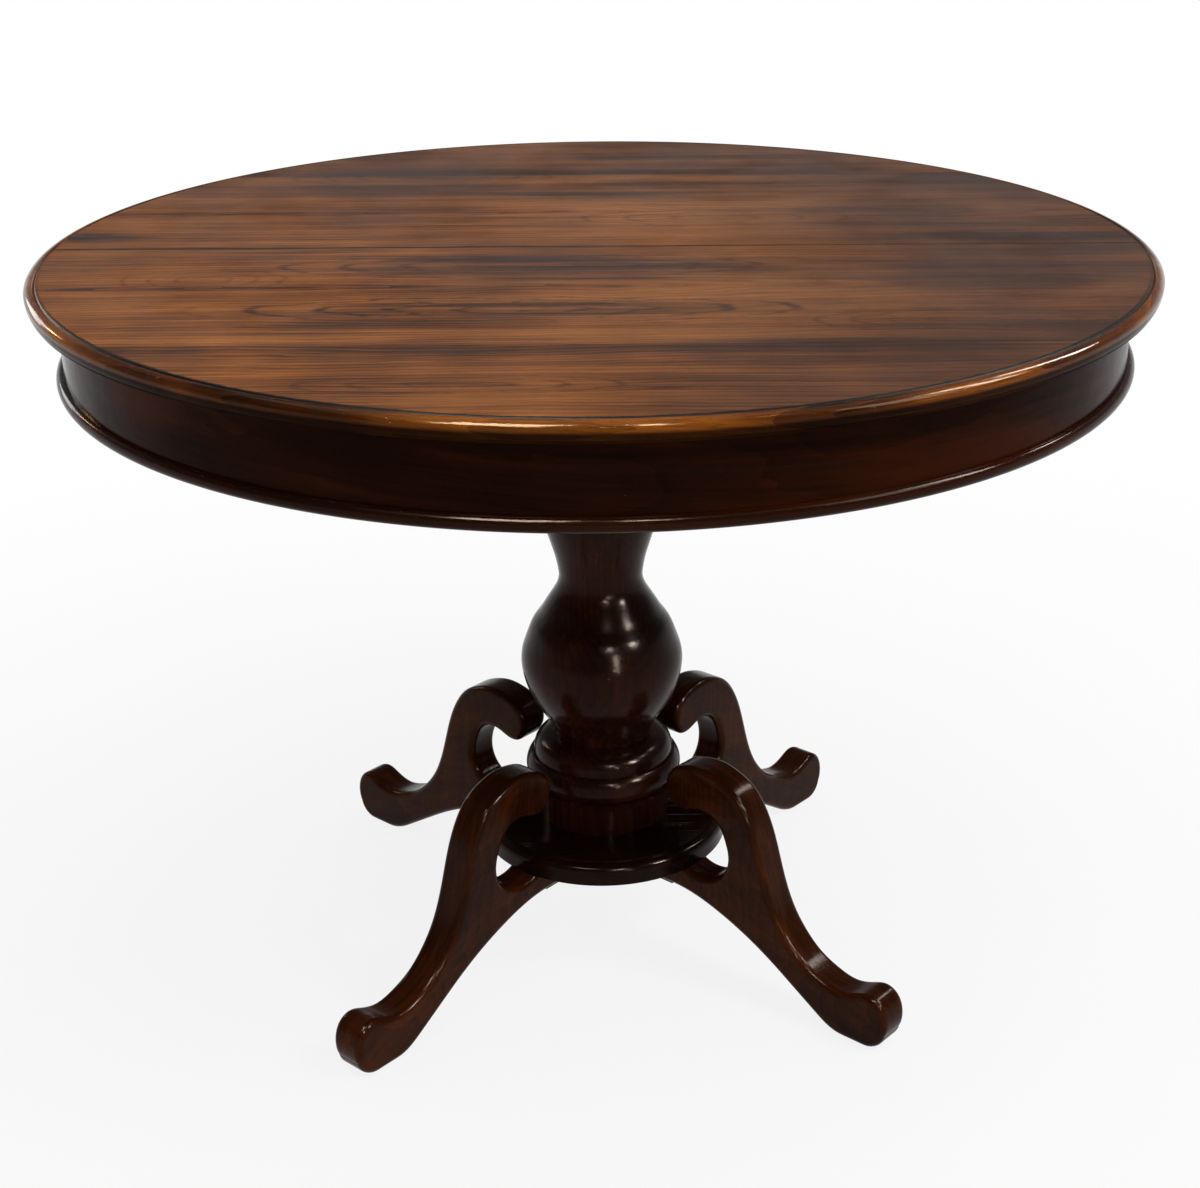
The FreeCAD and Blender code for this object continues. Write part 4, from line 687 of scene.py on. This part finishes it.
def built(name, points, edges, tree, values, attributes=None):
    """A plain mesh from the points and the tree, with its openings closed and faces outward."""
    mesh = bpy.data.meshes.new(name)
    mesh.from_pydata(points, edges, [])
    for label, numbers in (attributes or {}).items():
        mesh.attributes.new(label, "FLOAT", "POINT").data.foreach_set("value", numbers)
    item = bpy.data.objects.new(name, mesh)
    bpy.context.scene.collection.objects.link(item)
    modifier = item.modifiers.new("Shape", "NODES")
    modifier.node_group = tree
    for socket in tree.interface.items_tree:
        if socket.in_out == "INPUT" and socket.name in values:
            modifier[socket.identifier] = values[socket.name]
    graph = bpy.context.evaluated_depsgraph_get()
    plain = bpy.data.meshes.new_from_object(item.evaluated_get(graph), depsgraph=graph)
    item.modifiers.clear()
    item.data = plain
    work = bmesh.new()
    work.from_mesh(plain)
    bmesh.ops.holes_fill(work, edges=[edge for edge in work.edges if edge.is_boundary], sides=0)
    bmesh.ops.recalc_face_normals(work, faces=work.faces)
    work.to_mesh(plain)
    work.free()
    plain.shade_smooth()
    plain.set_sharp_from_angle(angle=SHARP_ANGLE)
    return item


def profile_points(rows, closed):
    """Points of a profile in metres, with each smooth run eased between its given points."""
    points = []
    for number, row in enumerate(rows):
        after = rows[(number + 1) % len(rows)][0]
        run = [Vector(point) for point in row]
        if number + 1 < len(rows) or closed:
            run.append(Vector(after))
        if len(run) < 3:
            points += run[:1]
            continue
        for place in range(len(run) - 1):
            one, two = run[place], run[place + 1]
            before = run[place - 1] if place else one * 2 - two
            later = run[place + 2] if place + 2 < len(run) else two * 2 - one
            points.append(one)
            points.append((one + two) * 0.5625 - (before + later) * 0.0625)
    if closed:
        points.append(Vector(rows[0][0]))
    else:
        points.append(Vector(rows[-1][-1]))
    return [(point.x * MM, 0.0, point.y * MM) for point in points]


SWEEP = make_sweep()


def turned(name, rows, material, node, slot, body, closed=True, side=None):
    """Sweeps a profile a whole turn, or a half turn about its own centre if a side is given."""
    points = profile_points(rows, closed)
    values = {"Material": material, "Segments": HALF_SEGMENTS if side else ROUND_SEGMENTS}
    if side:
        values.update({"Centre Y": -HALF_OFFSET if side == "front" else HALF_OFFSET,
                       "Start": math.pi if side == "front" else 0.0, "Sweep": math.pi})
    item = built(name, points, [(i, i + 1) for i in range(len(points) - 1)], SWEEP, values)
    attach(item, body)
    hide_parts(node)
    return item


turned("turned_pillar", PILLAR_PROFILE, COLUMN, "pillar", "base_wood", "pedestal", False)
turned("turned_plinth", PLINTH_PROFILE, PLINTH, "plinth", "base_wood", "pedestal")
for side in SIDES:
    half = side + "_half"
    turned("bent_edge_" + side, EDGE_PROFILE, EDGE, "edge_moulding_" + side, "edge_wood", half,
           side=side)
    turned("bent_frieze_" + side, FRIEZE_PROFILE, FRIEZE, "frieze_" + side, "frieze_wood", half,
           side=side)
    turned("bent_bead_" + side, BEAD_PROFILE, BEAD, "bead_" + side, "frieze_wood", half, side=side)


# Slotted screws
def make_screws():
    """A slotted screw at each point, head down, with its own length and turn."""
    net = new_group("Slotted screws", [
        ("Points", "Geometry", None), ("Head Radius", "Float", 0.0048),
        ("Head Height", "Float", 0.0032), ("Shank Radius", "Float", 0.0024),
        ("Round Head", "Bool", False), ("Slot Width", "Float", 0.0012),
        ("Slot Depth", "Float", 0.0011), ("Seed", "Int", 3), ("Material", "Material", None)],
        [("Geometry", "Geometry")], "GeometryNodeTree")
    given = net.given
    cone = net.add("GeometryNodeMeshCone", {
        "Vertices": 32, "Radius Top": given["Shank Radius"], "Radius Bottom": given["Head Radius"],
        "Depth": given["Head Height"]})
    ball = net.add("GeometryNodeMeshUVSphere", {"Segments": 32, "Rings": 16, "Radius": 1.0})
    here = net.split(net.add("GeometryNodeInputPosition").outputs[0])
    level = net.calc("MULTIPLY_ADD", net.calc("MINIMUM", here[2], 0.0), given["Head Height"],
                     given["Head Height"])
    dome_spot = net.join(net.product(here[0], given["Head Radius"]),
                         net.product(here[1], given["Head Radius"]), level)
    dome = net.add("GeometryNodeSetPosition", {"Geometry": ball.outputs["Mesh"], "Position": dome_spot})
    head = net.add("GeometryNodeSwitch", {"Switch": given["Round Head"], "False": cone.outputs["Mesh"],
                                          "True": dome.outputs[0]}, input_type="GEOMETRY")
    long = net.product(given["Head Radius"], 3.0)
    deep = net.product(given["Slot Depth"], 2.0)
    bar = net.add("GeometryNodeMeshCube", {"Size": net.join(long, given["Slot Width"], deep)})
    slotted = net.add("GeometryNodeMeshBoolean", {
        "Mesh 1": head.outputs[0], "Mesh 2": bar.outputs["Mesh"]},
        operation="DIFFERENCE", solver="EXACT")
    spin = net.add("FunctionNodeRandomValue", {"Min": (0.0, 0.0, 0.0), "Max": (0.0, 0.0, 6.28),
                                               "Seed": given["Seed"]}, data_type="FLOAT_VECTOR")
    heads = net.add("GeometryNodeInstanceOnPoints", {
        "Points": given["Points"], "Instance": slotted.outputs["Mesh"], "Rotation": spin.outputs[0]})
    shank = net.add("GeometryNodeMeshCylinder", {
        "Vertices": 24, "Radius": given["Shank Radius"], "Depth": 1.0})
    lifted = net.add("GeometryNodeTransform", {"Geometry": shank.outputs["Mesh"],
                                               "Translation": (0.0, 0.0, 0.5)})
    length = net.add("GeometryNodeInputNamedAttribute", {"Name": "length"}, data_type="FLOAT")
    rest = net.calc("SUBTRACT", length.outputs[0], given["Head Height"])
    raised = net.add("GeometryNodeSetPosition", {
        "Geometry": given["Points"],
        "Offset": net.join(0.0, 0.0, given["Head Height"])})
    shanks = net.add("GeometryNodeInstanceOnPoints", {
        "Points": raised.outputs[0], "Instance": lifted.outputs[0],
        "Scale": net.join(1.0, 1.0, rest)})
    both = net.add("GeometryNodeJoinGeometry")
    for part in (heads, shanks):
        net.tree.links.new(part.outputs[0], both.inputs[0])
    real = net.add("GeometryNodeRealizeInstances", {"Geometry": both.outputs[0]})
    done = net.add("GeometryNodeSetMaterial", {"Geometry": real.outputs[0],
                                               "Material": given["Material"]})
    return net.give(Geometry=done.outputs[0])


SCREWS = make_screws()


def solids_of(node):
    """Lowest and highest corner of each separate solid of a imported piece."""
    work = bmesh.new()
    work.from_mesh(NODES[node].data)
    bmesh.ops.remove_doubles(work, verts=work.verts, dist=SAME_POINT)
    left, boxes = set(work.verts), []
    while left:
        front = [left.pop()]
        group = list(front)
        while front:
            near = [edge.other_vert(vert) for vert in [front.pop()] for edge in vert.link_edges]
            fresh = [vert for vert in near if vert in left]
            left.difference_update(fresh)
            front += fresh
            group += fresh
        boxes.append([Vector(pick(vert.co[axis] for vert in group) for axis in range(3))
                      for pick in (min, max)])
    work.free()
    return sorted(boxes, key=lambda pair: tuple(round(value, 5) for value in pair[0]))


def screws(name, node, slot, body, material, **values):
    """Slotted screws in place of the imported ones, each as long as its own solid."""
    boxes = solids_of(node)
    points = [((low.x + high.x) / 2, (low.y + high.y) / 2, low.z) for low, high in boxes]
    lengths = [high.z - low.z for low, high in boxes]
    values = {key.replace("_", " "): value for key, value in values.items()}
    item = built(name, points, [], SCREWS, dict(values, Material=material), {"length": lengths})
    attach(item, body)
    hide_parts(node)


screws("slotted_plate_screws", "plate_screws", "iron", "pedestal", IRON, Seed=1)
screws("slotted_frame_screws", "frame_screws", "iron", "pedestal", IRON, Seed=2)
for number, side in enumerate(SIDES):
    screws("slotted_top_screws_" + side, "top_screws_" + side, "iron", side + "_half", IRON,
           Seed=3 + number)
CATCH_HEAD = dict(Head_Radius=0.0055, Head_Height=0.0025, Shank_Radius=0.0023, Round_Head=True)
screws("slotted_catch_pivots", "catch_pivots", "brass", "front_half", BRASS, Seed=6, **CATCH_HEAD)
screws("slotted_catch_keepers", "catch_keepers", "brass", "rear_half", BRASS, Seed=7, **CATCH_HEAD)


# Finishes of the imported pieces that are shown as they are
def finish(material, *nodes):
    """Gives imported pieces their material."""
    for node in nodes:
        data = NODES[node].data
        data.materials.clear()
        data.materials.append(material)


for side in SIDES:
    finish(TOP, "inner_board_" + side, "outer_board_" + side)
    finish(INNER_X, "glue_blocks_" + side, "stop_pegs_" + side)
    for hand in HANDS:
        finish(INNER_Y, f"runner_{side}_{hand}", f"batten_{side}_{hand}")
finish(INNER_X, "head_block", "head_wedge", "cross_rail_front", "cross_rail_rear")
finish(INNER_Y, "bearer_left", "bearer_right", "seam_pegs")
finish(LEG, "hub", "leg_rear_right", "leg_rear_left", "leg_front_left", "leg_front_right")
finish(IRON, "cross_plate", "coach_bolt")
finish(BRASS, "catch_left", "catch_right")


# Camera
CAMERA_PLACE = Vector((0.0364, -1.9633, 1.2381))
CAMERA_PITCH = 0.40652
CAMERA_ROLL = -0.0067


def aim_camera():
    pitch, roll = CAMERA_PITCH, CAMERA_ROLL
    ahead = Vector((0, math.cos(pitch), -math.sin(pitch)))
    up = Vector((0, math.sin(pitch), math.cos(pitch)))
    right = Vector((1, 0, 0))
    across = right * math.cos(roll) + up * math.sin(roll)
    upward = up * math.cos(roll) - right * math.sin(roll)
    data = bpy.data.cameras.new("camera")
    data.sensor_width = 36
    data.lens = 61.28
    data.shift_x = -0.0298
    data.shift_y = -0.0003
    camera = bpy.data.objects.new("camera", data)
    bpy.context.scene.collection.objects.link(camera)
    matrix = Matrix((across, upward, -ahead)).transposed().to_4x4()
    matrix.translation = CAMERA_PLACE
    camera.matrix_world = matrix
    bpy.context.scene.camera = camera


aim_camera()


# Light
LAMP_AIM = Vector((0, 0, 0.55))


def lamp(name, azimuth, elevation, distance, width, height, power, colour=(1.0, 1.0, 1.0),
         mirrored=False, only=None):
    """A soft lamp aimed at the table; azimuth 0 is the camera's side and 90 the right.

    A mirrored lamp is a window that shows only in the polish, of the pieces in only if given."""
    data = bpy.data.lights.new(name, "AREA")
    data.shape = "RECTANGLE"
    data.size = width
    data.size_y = height
    data.energy = power
    data.color = colour
    item = bpy.data.objects.new(name, data)
    bpy.context.scene.collection.objects.link(item)
    turn, lift = math.radians(azimuth), math.radians(elevation)
    away = Vector((math.sin(turn) * math.cos(lift), -math.cos(turn) * math.cos(lift), math.sin(lift)))
    item.visible_camera = False
    item.visible_diffuse = not mirrored
    if only:
        item.light_linking.receiver_collection = only
    item.location = LAMP_AIM + away * distance
    item.rotation_euler = (-away).to_track_quat("-Z", "Y").to_euler()


lamp("overhead", 0, 89, 3.9, 5.0, 5.0, 92, (1.0, 0.98, 0.95))
lamp("side_light", 62, 40, 2.6, 0.8, 0.8, 24)
# Windows and panes: name, azimuth, elevation, width, height, power
WINDOWS = [("front_left", -21, 54, 0.62, 0.95, 150), ("front", 12, 52, 0.22, 0.5, 30),
           ("right", 84, 42, 0.36, 0.70, 45), ("far_right", 112, 40, 0.30, 0.70, 30)]
PANES = [("pane_one", 14, 25, 0.20, 0.20, 30), ("pane_two", 55, 26, 0.30, 0.36, 84),
         ("pane_three", 22, 10, 0.16, 0.14, 14)]
WINDOW_AWAY = 2.4
BASE = bpy.data.collections.new("pedestal_pieces")
for name in ("turned_pillar", "turned_plinth"):
    BASE.objects.link(bpy.data.objects[name])
for place in ("rear_right", "rear_left", "front_left", "front_right"):
    BASE.objects.link(NODES["leg_" + place])
for name, azimuth, elevation, width, height, power in WINDOWS:
    lamp(name, azimuth, elevation, WINDOW_AWAY, width, height, power, mirrored=True)
for name, azimuth, elevation, width, height, power in PANES:
    lamp(name, azimuth, elevation, WINDOW_AWAY, width, height, power, mirrored=True, only=BASE)
lamp("left", -128, 14, WINDOW_AWAY, 0.5, 0.5, 4, mirrored=True)
lamp("warm_left", -120, 20, 2.2, 0.10, 0.10, 3, (1.0, 0.45, 0.15), True)
lamp("warm_right", 46, 60, WINDOW_AWAY, 0.10, 0.06, 3, (1.0, 0.6, 0.3), True)


def seen_directly(net):
    """One for the rays of the camera, of the polish and of anything clear."""
    ray = net.add("ShaderNodeLightPath").outputs
    return net.calc("MAXIMUM", net.calc("MAXIMUM", ray["Is Camera Ray"], ray["Is Glossy Ray"]),
                    ray["Is Transmission Ray"]), ray["Is Camera Ray"]


def make_world():
    world = bpy.data.worlds.new("studio")
    bpy.context.scene.world = world
    world.use_nodes = True
    world.node_tree.nodes.clear()
    net = Net(world.node_tree)
    seen, camera_ray = seen_directly(net)
    level = net.split(net.add("ShaderNodeTexCoord").outputs["Generated"])[2]
    studio = net.ramp(level, [(0.0, WHITE), (0.04, WHITE), (0.22, (0.24, 0.24, 0.24, 1.0)),
                              (1.0, (0.18, 0.18, 0.18, 1.0))])
    studio = net.mix(camera_ray, studio, WHITE)
    soft = net.add("ShaderNodeBackground", {"Color": WHITE, "Strength": 0.35})
    white = net.add("ShaderNodeBackground", {"Color": studio, "Strength": 1.0})
    both = net.add("ShaderNodeMixShader", {0: seen, 1: soft.outputs[0], 2: white.outputs[0]})
    net.add("ShaderNodeOutputWorld", {"Surface": both.outputs[0]})


make_world()


def make_floor():
    material, net = start_material("floor")
    where = net.add("ShaderNodeTexCoord").outputs["Object"]
    pale = net.ramp(net.noise(where, 3.0, 3.0), [(0.3, (0.90, 0.90, 0.90, 1.0)),
                                                 (0.7, (0.93, 0.93, 0.93, 1.0))])
    matt = net.add("ShaderNodeBsdfDiffuse", {"Color": pale})
    glow = net.add("ShaderNodeEmission", {"Color": WHITE, "Strength": 1.0})
    seen = seen_directly(net)[0]
    away = net.span(net.vector("LENGTH", where), 0.4, 2.0, 0.85, 1.0)
    shown = net.product(seen, away)
    both = net.add("ShaderNodeMixShader", {0: shown, 1: matt.outputs[0], 2: glow.outputs[0]})
    clear = net.add("ShaderNodeBsdfTransparent", {"Color": WHITE})
    below = net.add("ShaderNodeMixShader", {
        0: net.add("ShaderNodeNewGeometry").outputs["Backfacing"], 1: both.outputs[0],
        2: clear.outputs[0]})
    net.add("ShaderNodeOutputMaterial", {"Surface": below.outputs[0]})
    bpy.ops.mesh.primitive_plane_add(size=60)
    floor = bpy.context.object
    floor.name = "floor"
    floor.data.materials.append(material)


make_floor()
scene = bpy.context.scene
scene.view_settings.view_transform = "Standard"
